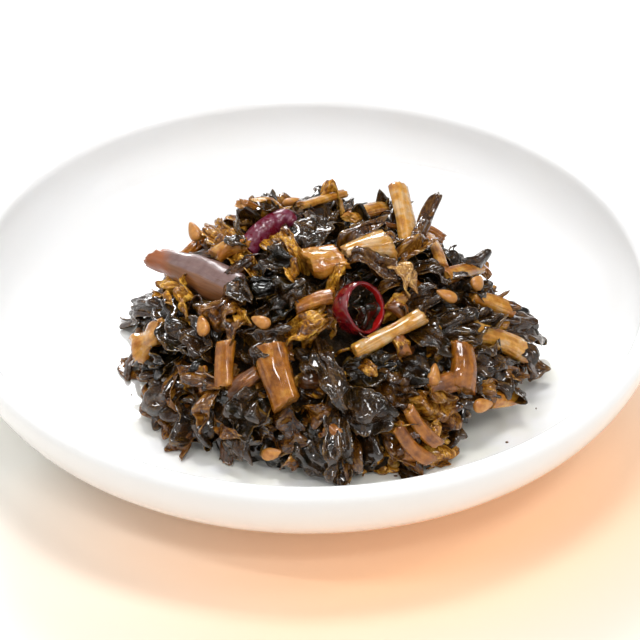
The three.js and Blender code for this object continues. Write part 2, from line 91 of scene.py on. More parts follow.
def unit(vector):
    return vector / np.linalg.norm(vector, axis=-1, keepdims=True)


def skin_rise(x, y):
    """Height of the mound's skin over the dish's floor."""
    across = (x - MOUND_X) / MOUND_HALF_WIDTH
    along = (y - MOUND_Y) / np.where(y < MOUND_Y, MOUND_FRONT, MOUND_BACK)
    slack = MOUND_SLACK * np.maximum(0, across) * np.maximum(0, along)
    return MOUND_HEIGHT * np.maximum(0, 1 - across**2 - along**2 - slack) ** MOUND_STEEPNESS


def along_ray(direction, lift):
    """Where rays from the middle of the mound's foot leave the skin, moved out by lift."""
    d = unit(direction)
    d[..., 2] = np.maximum(d[..., 2], 0.0)
    d = unit(d)
    inside = np.zeros(d.shape[:-1])
    outside = np.full(d.shape[:-1], 2 * MOUND_HALF_WIDTH)
    for _ in range(HALVINGS):
        reach = (inside + outside) / 2
        rise = skin_rise(MOUND_X + d[..., 0] * reach, MOUND_Y + d[..., 1] * reach)
        under = (rise > 0) & (d[..., 2] * reach < rise)
        inside = np.where(under, reach, inside)
        outside = np.where(under, outside, reach)
    return MOUND_FOOT + d * (inside + lift)[..., None]


def on_skin(x, y):
    """A place on the skin: its point, normal, and the directions to the mound's right and back."""
    rise = float(skin_rise(x, y))
    slope = 2 * MOUND_STEEPNESS * MOUND_HEIGHT
    depth = MOUND_FRONT if y < MOUND_Y else MOUND_BACK
    flatness = max(rise / MOUND_HEIGHT, 0.05) ** (1 / MOUND_STEEPNESS - 1)
    sideways = slope * (x - MOUND_X) / MOUND_HALF_WIDTH**2
    normal = unit(np.array([sideways, slope * (y - MOUND_Y) / depth**2, flatness]))
    right = unit(np.array([1.0, 0.0, 0.0]) - normal * normal[0])
    return np.array([x, y, FLOOR_HEIGHT + rise]), normal, right, np.cross(normal, right)


def headings(x, y, turn):
    """The skin's point and normal at a place, and the directions along and across a turned piece."""
    point, normal, right, back = on_skin(x, y)
    angle = math.radians(turn)
    along = right * math.cos(angle) + back * math.sin(angle)
    return point, normal, along, np.cross(normal, along)


def lifted(x, y, lift):
    point, normal, _, _ = on_skin(x, y)
    return point + normal * lift


def inside_height(radius):
    """Height of the dish's inner surface at a distance from its axis."""
    out = np.clip((radius - FLOOR_RADIUS) / (RIM_INNER - FLOOR_RADIUS), 0, 1)
    down = (1 - out**INSIDE_ROUNDNESS) ** (1 / INSIDE_ROUNDNESS)
    return RIM_MIDDLE - down * (RIM_MIDDLE - FLOOR_HEIGHT)


def rest_on_dish(points, gap=LOOSE_GAP):
    """Lifts points that would sink into the dish, and presses down those over the mound's top."""
    floor = inside_height(np.hypot(points[..., 0], points[..., 1])) + gap
    height = np.maximum(points[..., 2], floor)
    over = np.maximum(0, height - PRESSED_FROM)
    points[..., 2] = height - over + PRESSED_DEPTH * np.tanh(over / PRESSED_DEPTH)
    return points


# ---------------------------------------------------------------- pieces that were placed one by one

Leaf = namedtuple("Leaf", "x y turn length width lift tip folds fold tint rib seed", defaults=(0, 0))

LEAVES = [
    Leaf(3.0, -22.3, 294, 10.3, 3.0, 2.3, 0.1, 0.7, 0.6, 0.03, 1),  # strap upper
    Leaf(3.9, -27.7, 270, 11.9, 3.4, 2.1, 0, 0.8, 0.7, 0.03, 1),  # strap lower
    Leaf(7.6, -25.3, 352, 6.8, 5.2, 2.2, 0.4, 1, 0.8, 0.05, 0.3),  # wing
    Leaf(7.1, -27.8, 282, 7.1, 4.4, 1.1, 0, 1.5, 1.2, 0.04, 0.2),  # hoops
    Leaf(5.7, -28.4, 270, 5.2, 2.2, 1.3, 0.1, 1, 1, 0.25, 0),  # hoop edge
    Leaf(1.0, -28.3, 309, 7.7, 5.7, 1.4, 0, 1.6, 0.9, 0, 0.3),  # front left of strap
    Leaf(-1.9, -28.4, 222, 2.9, 1.9, 0.7, 0.2, 0.6, 0.7, 0.6, 0),  # amber tip at the bottom
    Leaf(-3.7, -26.4, 345, 6.9, 5.7, 0.6, 0.1, 0.6, 0.5, 0.24, 0),  # brown flat
    Leaf(1.0, -25.8, 22, 4.5, 2.9, 1, 0.3, 1.2, 1, 0.45, 0),  # brown over the recess
    Leaf(-8.8, -24.0, 335, 8.3, 7.4, 1.3, 0.6, 0.9, 0.9, 0.02, 0),  # cup body
    Leaf(-8.9, -25.5, 303, 5.2, 4.7, 1.4, 0.2, 1, 0.8, 0.02, 0.4),  # cup lobe
    Leaf(-12.0, -21.5, 250, 6.8, 1.5, 2.3, 0.2, 0.5, 0.7, 0.5, 0.6),  # cup rim upper
    Leaf(-10.2, -24.1, 346, 7.0, 1.3, 2.3, 0.2, 0.5, 0.7, 0.45, 0.6),  # cup rim lower
    Leaf(-7.0, -23.8, 239, 6.5, 5.0, 1.7, 0.2, 1.2, 0.9, 0, 0.2),  # leaf right of the cup
    Leaf(-18.5, -16.9, 241, 7.8, 7.7, 1.3, 0.2, 1.3, 0.9, 0.08, 0),  # left block
    Leaf(-20.6, -15.2, 324, 12.0, 1.3, 0.8, 0, 0.5, 0.5, 0.45, 0.6),  # left long edge
    Leaf(-19.1, -18.5, 321, 3.7, 1.2, 0.4, 0.2, 0.6, 0.6, 0.4, 0.3),  # tail
    Leaf(-24.4, -5.7, 154, 9.4, 1.0, 0.8, 0.5, 0.5, 0.5, 0.5, 0.4),  # thin tip
    Leaf(-8.4, -9.5, 292, 6.7, 2.5, 1.7, 0.2, 1, 0.9, 0.02, 0),  # purple cover
    Leaf(-15.8, -21.8, 271, 4.4, 3.0, 1.3, 0.2, 0.9, 0.9, 0.42, 0.3),  # hanging tip
    Leaf(-14.7, -17.5, 335, 9.5, 2.5, 2.1, 0.1, 1, 0.9, 0.5, 0.6),  # light ridged
    Leaf(-17.3, -17.1, 292, 6.1, 1.9, 2, 0, 0.8, 0.8, 0.5, 0.8),  # pale edge
    Leaf(-14.7, -21.4, 312, 7.2, 6.4, 1.2, 0.2, 1.4, 0.9, 0.02, 0.2),  # dark below the block
    Leaf(-5.6, -18.2, 17, 7.7, 4.0, 1.7, 0.4, 0.8, 0.7, 0.1, 0.2),  # lavender leaf
    Leaf(-23.1, 2.2, 120, 16.4, 2.1, 1, 1.6, 1, 0.9, 0.1, 0.4),  # curled tip left
    Leaf(-21.7, 1.5, 114, 20.7, 3.0, 0.8, 0.8, 1, 0.9, 0.06, 0),  # lobe behind it
    Leaf(-17.6, -8.5, 290, 14.3, 3.1, 1.6, 0.2, 1.2, 0.9, 0.02, 0.6),  # dark strap left
    Leaf(-17.8, -0.7, 149, 8.1, 5.1, 1.1, 0.2, 2, 1.2, 1, 0),  # amber crumple
    Leaf(-15.7, -6.0, 276, 9.1, 2.2, 1.7, 0.2, 1, 0.9, 1, 0),  # amber flap
    Leaf(-17.6, -4.5, 292, 6.3, 1.5, 2, 0.4, 0.8, 0.8, 1, 0),  # golden bit left
    Leaf(-11.0, -11.6, 45, 7.8, 5.1, 1.7, 0, 3, 1, 0.42, 0.2),  # ribbed leaf
    Leaf(-9.0, -15.1, 252, 5.3, 2.5, 1.6, 0.1, 1.3, 1, 0.5, 0),  # ribbed leaf foot
    Leaf(-14.8, -13.3, 299, 8.8, 4.2, 0.8, 0.3, 2.2, 1.2, 0, 0),  # dark beside it
    Leaf(-20.0, -11.5, 324, 5.7, 2.4, 1.1, 0.4, 1.4, 1.2, 0, 0),  # dark by the chunk
    Leaf(-4.3, -7.2, 350, 5.3, 4.0, 1.6, 0.4, 1.4, 1.1, 0, 0),  # silver crumple
    Leaf(-5.7, -10.5, 12, 5.0, 4.5, 1.1, 0.4, 2.4, 1.3, 0, 0),  # dark crumple a
    Leaf(-2.3, -12.3, 27, 4.9, 4.3, 1.3, 0.4, 2, 1.2, 0.02, 0),  # dark crumple b
    Leaf(-3.9, -14.3, 11, 4.5, 3.9, 1, 0.4, 2, 1.2, 0, 0),  # dark crumple c
    Leaf(1.3, -1.3, 250, 9.1, 4.8, 1.9, 0.3, 1.3, 0.9, 0, 0.2),  # top dark leaf
    Leaf(-1.6, -5.1, 104, 6.8, 1.8, 2.4, 0.5, 0.8, 0.8, 1, 0),  # golden flap
    Leaf(-2.5, -5.3, 120, 2.4, 1.3, 1.6, 0.5, 0.8, 0.8, 0.9, 0),  # golden crumple
    Leaf(-1.9, -8.4, 283, 4.8, 1.9, 1.6, 0.3, 0.9, 0.9, 1, 0),  # amber below the flap
    Leaf(-7.4, 8.6, 23, 9.8, 3.0, 0.5, 0.3, 1.8, 1, 1, 0),  # amber mass
    Leaf(-12.3, 6.9, 102, 34.9, 3.1, 1.2, 0.6, 1.6, 1, 1, 0),  # amber mass left
    Leaf(-11.5, 2.9, 333, 7.3, 3.0, 0.8, 0.3, 1.8, 1.1, 1, 0),  # amber mass low
    Leaf(-8.2, 2.1, 57, 3.9, 1.2, 2.2, 0, 0.5, 0.6, 0, 0),  # black scrap
    Leaf(-0.7, -17.1, 20, 7.7, 3.4, 1.8, 0.3, 0.7, 0.8, 1, 0),  # ochre leaf
    Leaf(7.6, -7.5, 324, 9.2, 3.1, 1.5, 0.3, 1, 0.9, 0.22, 0.3),  # dark leaf under the fan
    Leaf(6.9, -2.4, 43, 9.5, 2.2, 1.9, 0.3, 1, 1.1, 0.3, 0),  # dark leaf over the fan
    Leaf(3.6, -10.4, 66, 3.9, 1.9, 2, 0.5, 0.8, 0.8, 1, 0),  # golden bit by the ring
    # its tint over 1 gives it pale tan, a painted highlight
    Leaf(12.0, -8.8, 283, 6.8, 3.1, 2.1, 0.5, 0.8, 0.8, 1.25, 0),  # silver flake
    Leaf(10.5, -10.6, 23, 3.8, 1.5, 1, 0.2, 0.9, 0.9, 0.3, 0.4),  # grey leaf
    Leaf(16.4, -6.4, 339, 5.0, 3.9, 1.1, 0.4, 2.2, 1.2, 0.02, 0),  # dark right of the flake
    Leaf(15.0, -11.2, 32, 6.3, 3.6, 1, 0.4, 2, 1.2, 0.05, 0),  # dark lumps
    Leaf(13.7, -2.9, 50, 7.4, 2.7, 1.4, 0.4, 1.4, 1.1, 0.55, 0),  # brown behind the flake
    Leaf(15.7, -16.2, 328, 5.5, 3.9, 1.8, 0.3, 0.7, 0.6, 0.05, 0.2),  # grey flake leaf
    Leaf(20.8, -12.0, 36, 9.3, 4.8, 1.6, 0.4, 2.8, 1.3, 0, 0),  # black crumple right
    Leaf(20.9, -13.2, 332, 3.1, 3.9, 1.5, 0.4, 2.2, 1.2, 0, 0),  # black crumple right 2
    Leaf(29.2, -3.2, 40, 16.6, 5.4, 1, 0.4, 1.8, 1.1, 0.06, 0),  # right leaf
    Leaf(29.5, -8.0, 258, 6.5, 3.6, 0.9, 0.4, 1.2, 1, 0.14, 0),  # right leaf lower
    Leaf(24.4, -15.3, 19, 10.6, 6.7, 0.8, 0.3, 2.4, 1.2, 0.02, 0),  # dark mass right
    Leaf(21.7, -19.6, 356, 7.8, 3.7, 0.6, 0.3, 2, 1.2, 0, 0),  # dark mass low right
    Leaf(26.6, -13.8, 353, 5.2, 1.6, 1, 0.3, 0.9, 0.9, 0.5, 0),  # brown edge right
    Leaf(7.8, -21.7, 20, 6.0, 4.7, 1, 0.4, 1.8, 1.1, 0.03, 0),  # middle dark a
    Leaf(11.2, -23.2, 349, 6.4, 4.7, 1.2, 0.3, 1.6, 1.1, 0.1, 0),  # middle dark b
    Leaf(13.7, -20.6, 341, 5.7, 3.9, 1.1, 0.3, 2, 1.2, 0.02, 0),  # middle dark c
    Leaf(0.4, -21.2, 316, 4.3, 2.7, 0.8, 0.4, 1.4, 1, 0.03, 0),  # middle dark d
    Leaf(7.5, -21.4, 319, 3.0, 1.9, 1.9, 0.4, 0.8, 0.8, 1, 0),  # yellow scrap
    Leaf(15.7, -23.0, 9, 6.3, 3.5, 1.7, 0.4, 0.8, 0.7, 0.6, 0),  # olive wing
    Leaf(17.5, -23.6, 297, 4.4, 4.2, 1.1, 0.3, 0.8, 0.6, 0.42, 0.2),  # square leaf
    Leaf(17.0, -25.9, 257, 5.4, 4.2, 1, 0.1, 0.5, 0.2, 1, 0),  # pale flake
    Leaf(12.8, -26.1, 319, 6.8, 6.1, 0.9, 0.1, 0.8, 0.9, 0.4, 0),  # fold body
    Leaf(12.8, -27.1, 300, 5.4, 4.0, 0.9, 0.2, 0.8, 0.9, 0.35, 0),  # fold lower
    Leaf(-8.5, -13.5, 311, 3.8, 1.9, 1.8, 0.2, 0.8, 0.8, 1, 0),  # pale stub
    Leaf(14.7, 4.0, 84, 9, 1.8, 1.5, 4.4, 0.8, 0.7, 0.25, 0.8),  # curled tip by the tall stalk
]

Stalk = namedtuple(
    "Stalk",
    "start end width thickness tint ribs depth arch bow bend rough flare seed",
    defaults=(0.3, 0.0, 0.0, 1.0, 0.0, 0),
)

STALKS = [
    Stalk((16.3, 4.2, 0.9), (17.9, -4.3, 0.7), 1.9, 1.2, 0.24, 4, 0, 0.2, 0, 0, 0.4),  # slab behind
    Stalk((18.3, -5.9, 0.3), (22.9, 0.9, 1.3), 2.1, 1.7, 0.26, 4, 0, 0.2, 0, 0, 0.4),  # stick 1
    Stalk((22.1, -6.4, 0.3), (27.0, -4.9, 1.3), 2.2, 1.7, 0.24, 5, 0, 0.2, 0, 0, 0.4),  # stick 2
    Stalk((-12.3, -1.3, 0.9), (-8.3, -1.2, 1.1), 2.2, 1.9, 0.24, 4, 0.03, 0.4, 0.2, 0, 1.8),  # clear chunk
    Stalk((-6.0, 6.3, 1.2), (-7.9, 4.5, 4.2), 2.1, 1.5, 0.34, 5, 0.03, 0.1, 0, 0, 0.8),  # tan stub
    Stalk((-4.4, 6.5, 1.6), (-5.5, 3.7, 5.4), 2.1, 1.0, 0.22, 4, 0.03, 0.1, 0, 0, 1.2),  # fin
    Stalk((-0.9, 6.9, 1.4), (4.6, 13.1, 1.8), 2.1, 1.2, 0.18, 4, 0.02, 0.1, 0, 0, 0.8),  # top bar
    Stalk((4.8, -5.9, 0.9), (10.4, -3.2, 1.5), 3.6, 1.8, 0.08, 9, 0.12, 0.2, 0.4, 0, 0.5, 0.45),  # fan
    Stalk((-0.2, -7.6, 0.9), (4.5, -7.5, 1.3), 4.1, 2.8, 0.26, 3, 0.06, 0.4, 0, 0.2, 2.8),  # amber lump
    Stalk((5.6, 3.5, 0.8), (10.1, 11.0, 1.4), 2.5, 1.5, 0.22, 7, 0.1, 0.3, 0.3, 0, 0.6),  # pink ridged stub
    Stalk((6.1, -20.3, 1.3), (14.6, -14.6, 1.8), 2.2, 1.5, 0.14, 9, 0.14, 0.2, 0, 0, 0.4),  # ribbed stem
    Stalk((-4.9, -18.9, 1.7), (-2.5, -24.8, 2), 4.3, 2.5, 0.42, 6, 0.03, 0.2, 0.2, 0, 0.4),  # front post
    Stalk((-10.3, -16.7, 1.5), (-10.6, -21.1, 1.3), 2.8, 2.2, 0.36, 4, 0.02, 0.3, 0, 0, 0.5),  # amber block
    Stalk((-13.5, -17.7, 1.1), (-13.3, -20.3, 1), 1.4, 1.1, 0.45, 4, 0.02, 0.2, 0, 0, 0.5),  # narrow stalk
    Stalk((-10.1, -21.8, 0.5), (-6.3, -21.0, 0.8), 2.3, 1.7, 0.6, 5, 0.04, 0.2, 0, 0, 0.8),  # diagonal brown
    Stalk((-19.2, -9.1, 0.9), (-22.2, -7.8, 1.1), 4.0, 2.6, 0.2, 3, 0.05, 0.4, 0, 0, 2.8),  # yellow chunk
    Stalk((21.5, -12.5, 0.6), (28.1, -9.7, 1.6), 3.3, 2.1, 0.16, 7, 0.05, 0.3, 0.2, 0, 0.5),  # split stem
    Stalk((19.9, -15.6, 1.4), (19.7, -20.4, 1.3), 3.7, 2.5, 0.46, 5, 0.02, 0.5, 0.2, 0, 0.4),  # glossy brown
    Stalk((15.6, -22.0, 0.9), (19.3, -19.6, 1.1), 2.9, 1.9, 0.48, 5, 0.04, 0.3, 0, 0, 1),  # brown left of it
    Stalk((24.0, -18.6, 0.6), (27.5, -14.9, 1), 2.2, 1.7, 0.25, 4, 0.03, 0.2, 0, 0, 0.5),  # ochre stub
    Stalk((12.4, -24.6, 2.9), (16.0, -25.6, 2.7), 1.8, 1.5, 0.42, 3, 0.02, 0.6, 0, 0.4, 0.6),  # roll a
    Stalk((11.1, -26.0, 2.6), (15.2, -26.6, 2.3), 1.9, 1.7, 0.46, 3, 0.02, 0.6, 0, 0.6, 0.7),  # roll b
    Stalk((12.2, -27.4, 0.9), (14.7, -27.0, 0.8), 2.2, 1.7, 0.45, 4, 0.05, 0.3, 0, 0, 1.6),  # low stub
    Stalk((-1.5, -14.6, 0.7), (3.4, -13.1, 0.9), 2.2, 1.7, 0.38, 5, 0.03, 0.3, 0, 0, 1),  # amber left of ring
    Stalk((10.8, -13.3, 0.5), (12.9, -14.5, 0.6), 2.1, 1.4, 0.5, 5, 0.04, 0.3, 0, 0, 1),  # brown by the ring
    Stalk((11.5, -17.6, 1), (12.6, -19.5, 1), 1.9, 1.4, 0.5, 4, 0.02, 0.2, 0, 0, 0.6),  # brown stub middle
    Stalk((2.1, -27.1, 0.5), (5.0, -27.7, 0.7), 2.5, 1.7, 0.5, 5, 0.04, 0.3, 0, 0, 1),  # amber by the strap
    Stalk((14.6, 3.6, -1), (11.3, 11.2, 4.9), 3.2, 1.9, 0.14, 5, 0.0, 0.2, 0.3, 0, 0.4),  # tall stalk
    # at the back, which the main view doesn't show
    Stalk((-9.4, 16.4, 0.8), (-5.8, 20.4, 0.6), 3.4, 1.9, 0.4, 6, 0.06),
    Stalk((1.4, 17, 0), (7.4, 18.6, 0.4), 2.4, 1.7, 0.3, 5, 0.1),
    Stalk((12.8, 14, 0.9), (18.2, 10.6, 1.2), 3.0, 1.9, 0.4, 6, 0.08),
    Stalk((21.8, 8.4, 0.6), (24.2, 3.2, 1), 2.2, 1.5, 0.5, 5, 0.06),
    Stalk((9.4, 21.2, 0.8), (14.6, 18.6, 0.8), 3.4, 2.0, 0.5, 5, 0.06),
    Stalk((-1, 21.4, 0), (3.6, 22, 0.4), 2.0, 1.8, 0.35, 5, 0.06),
    Stalk((-18, 8, 0.4), (-12.4, 12.6, 0.9), 2.8, 1.8, 0.3, 5, 0.06, 0.3, 0, 0, 1.5),
]

Seed = namedtuple("Seed", "x y turn lift pitch", defaults=(0,))

SEEDS = [
    Seed(-14.4, 6.4, 84, 3.0, 50),
    Seed(-13.1, -13.4, 104, 2.2),
    Seed(-5.7, -16, 148, 2.3),
    Seed(22.1, -5.1, 68, 1.8),
    Seed(17.8, -10.3, 172, 1.9),
    Seed(16, -20.6, 84, 1.9),
    Seed(22.3, -20.1, 8, 1.9),
    Seed(-4.6, -27.6, 12, 0.8),
    # at the back
    Seed(-2, 14.4, 30, 1.2),
    Seed(14, 12.2, 120, 1.2),
    Seed(-12.6, 14.6, 60, 0.9),
]

# a piece's number seeds its random shape; these pieces weren't placed by eye
FILLER_LEAF, FILLER_STALK, WISP = 100, 300, 400
LEAF_SHAPES, STALK_SHAPES = 1000, 5000  # added to the number
STALK_CELL, STALK_SIDES, STALK_CAPS = 0.3, 40, [0.0, 0.4, 0.72, 0.92]

# ---------------------------------------------------------------- settings a user would change


class DishSettings(bpy.types.PropertyGroup):
    foot_radius: bpy.props.FloatProperty(
        name="Foot Radius", description="Outside of the foot ring", default=0.0244, subtype="DISTANCE"
    )
    segments: bpy.props.IntProperty(name="Segments", description="Steps round the dish", default=192)
    glaze: bpy.props.FloatVectorProperty(
        name="Glaze", description="Colour of the glaze", default=(0.96, 0.965, 0.97), subtype="COLOR"
    )


class GreensSettings(bpy.types.PropertyGroup):
    cell: bpy.props.FloatProperty(
        name="Leaf Cell", description="Size of a leaf's mesh cells", default=0.00021, subtype="DISTANCE"
    )
    leaf_thickness: bpy.props.FloatProperty(
        name="Leaf Thickness", description="Thickness of a leaf", default=0.00018, subtype="DISTANCE"
    )
    filler_leaves: bpy.props.IntProperty(
        name="Filler Leaves", description="Leaves spread over the whole mound", default=130
    )
    filler_stalks: bpy.props.IntProperty(
        name="Filler Stalks", description="Small stalks spread over the whole mound", default=46
    )
    leaf: bpy.props.FloatVectorProperty(
        name="Leaf", description="Colour of a cooked leaf", default=(0.008, 0.0055, 0.0025), subtype="COLOR"
    )
    stalk: bpy.props.FloatVectorProperty(
        name="Stalk", description="Colour of a pale stalk", default=(0.7, 0.34, 0.045), subtype="COLOR"
    )


class ToppingSettings(bpy.types.PropertyGroup):
    ring_radius: bpy.props.FloatProperty(
        name="Ring Radius", description="Outside of the chilli ring", default=0.00355, subtype="DISTANCE"
    )
    chilli: bpy.props.FloatVectorProperty(
        name="Chilli", description="Colour of the chilli skin", default=(0.22, 0.004, 0.008), subtype="COLOR"
    )
    seed_length: bpy.props.FloatProperty(
        name="Seed Length", description="Length of a sesame seed", default=0.0033, subtype="DISTANCE"
    )
    seed: bpy.props.FloatVectorProperty(
        name="Seed", description="Colour of a toasted seed", default=(0.58, 0.26, 0.045), subtype="COLOR"
    )


class StageSettings(bpy.types.PropertyGroup):
    # the peach is painted warm shade on the table round the front and right of the dish
    floor: bpy.props.FloatVectorProperty(
        name="Floor", description="Colour of the table", default=(0.95, 0.6, 0.36), subtype="COLOR"
    )
    elevation: bpy.props.FloatProperty(
        name="Elevation", description="Camera over the horizon", default=VIEW_TILT, subtype="ANGLE"
    )
    distance: bpy.props.FloatProperty(
        name="Distance", description="Camera from its target", default=0.42, subtype="DISTANCE"
    )


SETTINGS = {
    "greens_dish": DishSettings,
    "greens_mound": GreensSettings,
    "greens_toppings": ToppingSettings,
    "greens_stage": StageSettings,
}

# ---------------------------------------------------------------- meshes


class Batch:
    """Collects closed patches of quads with a UV and a four-part tone at each vertex."""

    def __init__(self):
        self.patches, self.count = [], 0

    def add(self, points, quads, uvs, tones):
        points = points.reshape(-1, 3)
        self.patches.append((points, quads + self.count, uvs.reshape(-1, 2), tones.reshape(-1, 4)))
        self.count += len(points)

    def object(self, name, material):
        """One mesh object of all the patches; a quad with a repeated corner becomes a triangle."""
        points, quads, uvs, tones = (np.vstack(part) for part in zip(*self.patches))
        mesh = bpy.data.meshes.new(name)
        triangle = quads[:, 2] == quads[:, 3]
        sizes = np.where(triangle, 3, 4)
        corners = quads[np.column_stack([np.ones((len(quads), 3), bool), ~triangle])]
        starts = np.concatenate([[0], np.cumsum(sizes)[:-1]])
        mesh.vertices.add(len(points))
        mesh.vertices.foreach_set("co", (points * MM).ravel())
        mesh.loops.add(len(corners))
        mesh.loops.foreach_set("vertex_index", corners.astype(np.int32))
        mesh.polygons.add(len(sizes))
        mesh.polygons.foreach_set("loop_start", starts.astype(np.int32))
        mesh.update(calc_edges=True)
        mesh.uv_layers.new(name="run").data.foreach_set("uv", uvs[corners].ravel())
        set_tone(mesh, tones)
        smooth(mesh)
        mesh.validate()
        return add_piece(name, mesh, material)


def set_tone(mesh, tones):
    mesh.color_attributes.new("tone", "FLOAT_COLOR", "POINT").data.foreach_set("color", tones.ravel())


def smooth(mesh):
    mesh.polygons.foreach_set("use_smooth", np.ones(len(mesh.polygons), bool))


def settle_mesh(mesh):
    """Joins doubled points, makes the faces point outwards and gives them smooth shading."""
    shape = bmesh.new()
    shape.from_mesh(mesh)
    bmesh.ops.remove_doubles(shape, verts=shape.verts, dist=1e-6)
    bmesh.ops.recalc_face_normals(shape, faces=shape.faces)
    shape.to_mesh(mesh)
    shape.free()
    smooth(mesh)


def add_object(name, data):
    made = bpy.data.objects.new(name, data)
    bpy.context.scene.collection.objects.link(made)
    return made


def add_piece(name, mesh, material):
    piece = add_object(name, mesh)
    if material:
        mesh.materials.append(material)
    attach(piece, BODY)
    return piece


def closed_piece(name, patch, material):
    """A piece of one patch, whose faces all point outwards."""
    batch = Batch()
    batch.add(*patch)
    piece = batch.object(name, material)
    settle_mesh(piece.data)
    return piece


def layers(*parts):
    """The parts, stretched to one shape and stacked on a last axis."""
    return np.stack(np.broadcast_arrays(*parts), -1)


def bearings(steps):
    return np.linspace(0, TURN, steps, endpoint=False)


def squarer(wave, exponent):
    """A sine wave pushed towards 1 and -1, which squares up a round section."""
    return np.sign(wave) * np.abs(wave) ** exponent


def bell(distance, width):
    return np.exp(-((distance / width) ** 2))


def moved(points, *moves):
    """Points moved by distances along directions."""
    for distance, direction in moves:
        points = points + distance[..., None] * direction
    return points


def vertex_grid(rows, columns, wrapped=False):
    """Vertex numbers in rows; a wrapped grid repeats its first column at the end."""
    index = np.arange(rows * columns).reshape(rows, columns)
    return np.column_stack([index, index[:, 0]]) if wrapped else index


def quads_of(index, flip=False):
    """Quads between neighbours in a grid of vertex numbers; flip turns them over."""
    corners = [index[:-1, :-1], index[1:, :-1], index[1:, 1:], index[:-1, 1:]]
    return np.stack(corners[:1] + corners[:0:-1] if flip else corners, -1).reshape(-1, 4)


def fan(ahead, behind, hub):
    """Triangles from a ring's edges to a hub, as quads with a repeated corner."""
    tip = np.full(len(ahead), hub)
    return np.stack([ahead, behind, tip, tip], -1)


def thick_sheet(points, thickness):
    """Vertices and quads of a closed sheet round a grid of points."""
    normal = np.cross(np.gradient(points, axis=0), np.gradient(points, axis=1))
    normal /= np.maximum(np.linalg.norm(normal, axis=-1, keepdims=True), 1e-9)
    half = (thickness / 2)[..., None] * normal
    index = vertex_grid(*points.shape[:2])
    top, shift = quads_of(index), index.size
    border = np.concatenate([index[:-1, 0], index[-1, :-1], index[:0:-1, -1], index[0, :0:-1]])
    following = np.roll(border, -1)
    rim = np.stack([following, border, border + shift, following + shift], -1)
    return np.concatenate([points + half, points - half]), np.vstack([top, top[:, ::-1] + shift, rim])


def waves(p, rng, count, wavelength):
    """Soft random relief over 2-D places, about -1 to 1."""
    total = 0
    for _ in range(count):
        angle, phase = rng.uniform(0, TURN, 2)
        pitch = TURN / (wavelength * rng.uniform(0.7, 1.4))
        total = total + np.sin(pitch * (p[..., 0] * math.cos(angle) + p[..., 1] * math.sin(angle)) + phase)
    return total / math.sqrt(count)


def creases(p, rng, count, wavelength):
    """Sharp random folds over 2-D places, about -1 to 1."""
    total = 0
    for _ in range(count):
        angle, phase, wander = rng.uniform(0, TURN, 3)
        pitch = 1 / (wavelength * rng.uniform(0.7, 1.5))
        run = p[..., 0] * math.cos(angle) + p[..., 1] * math.sin(angle)
        cross = p[..., 1] * math.cos(angle) - p[..., 0] * math.sin(angle)
        saw = (pitch * run + phase + 0.25 * np.sin(1.7 * pitch * cross + wander)) % 1
        total = total + 4.2 * np.hypot(saw - 0.5, 0.05) - 1.12
    return total / math.sqrt(count)


def leaf_patch(batch, spec, cell, thickness):
    """A crumpled leaf: a sheet with folds that run along it, laid over the mound's skin."""
    rng = np.random.default_rng(LEAF_SHAPES + spec.seed)
    u = np.linspace(0, 1, max(10, round(spec.length / cell)))[:, None]
    v = np.linspace(-1, 1, max(9, round(1.5 * spec.width / cell)))[None, :]
    share = u - 0.5
    # its outline
    flat = layers(spec.length * share, spec.width / 2 * v)
    edge_line = layers(spec.length * u, 40 * np.sign(v))
    ragged = 0.24 * waves(edge_line, rng, 4, 2.8) + 0.04 * creases(edge_line, rng, 3, 0.9)
    half = spec.width / 2 * (1 - 0.55 * np.abs(2 * share) ** 4 - 0.2 * share) * (1 + ragged)
    # folds across it, as a slope that is added up to a distance t and a height h
    phases = rng.uniform(0, TURN, 5)
    swing = 2.0 * np.sin(2.6 * u + phases[0])
    angle = spec.fold * 1.15 * np.sin(math.pi * spec.folds * v + swing + phases[1])
    angle = angle + 0.55 * spec.fold * np.sin(2.7 * math.pi * spec.folds * v - 1.4 * swing + phases[2])
    stretch = 1 / max(0.5, float(np.cos(angle).mean()))
    step = 2 / (v.size - 1) * half * stretch
    t = np.cumsum(np.cos(angle) * step, axis=1)
    h = np.cumsum(np.sin(angle) * step, axis=1)
    t -= t.mean(axis=1, keepdims=True)
    h -= h.mean(axis=1, keepdims=True)
    # torn ends, a root that dives into the mound, and a raised tip
    end = np.maximum(0, np.abs(2 * share) - 0.45) / 0.55
    s = spec.length * share + end * np.sign(share) * (0.7 * waves(flat + 30, rng, 3, 2.4) - 0.3 * v**2)
    root = np.clip((share + 0.5) / 0.4, 0, 1)
    root = root * root * (3 - 2 * root)
    raised = -1.1 * (1 - root) + root * (spec.lift + 0.35 * np.sin(5.5 * share + spec.folds))
    raised = raised + 3 * spec.tip * np.maximum(0, share + 0.1) ** 2
    # curled sides, crumples and a rib
    curl = np.where(v > 0, rng.uniform(-0.5, 0.9), rng.uniform(-0.5, 0.9))
    h = h + curl * np.abs(v) ** 3 + 0.5 * np.sin(spec.length * u + 1.3 * v + phases[3])
    h = h + 0.45 * waves(flat, rng, 4, 3.6) + 0.26 * creases(flat, rng, 4, 2.4)
    h = h + 0.13 * creases(flat * [0.5, 1], rng, 4, 1.0)
    h = h + 0.25 * spec.rib * bell(v, 0.16)
    point, _, along, across = headings(spec.x, spec.y, spec.turn)
    spot = moved(point, (s, along), (t, across))
    laid = rest_on_dish(along_ray(spot - MOUND_FOOT, raised + h))
    body = 0.5 + 0.5 * (1 - v**4) + 0.9 * spec.rib * bell(v, 0.13)
    edge = np.maximum(np.abs(v), np.abs(2 * share) ** 3)
    tone = layers(spec.tint, edge, rng.random(), spec.rib * bell(v, 0.14))
    both_sides = (np.concatenate([part, part]) for part in (flat, tone))
    batch.add(*thick_sheet(laid, thickness * body), *both_sides)


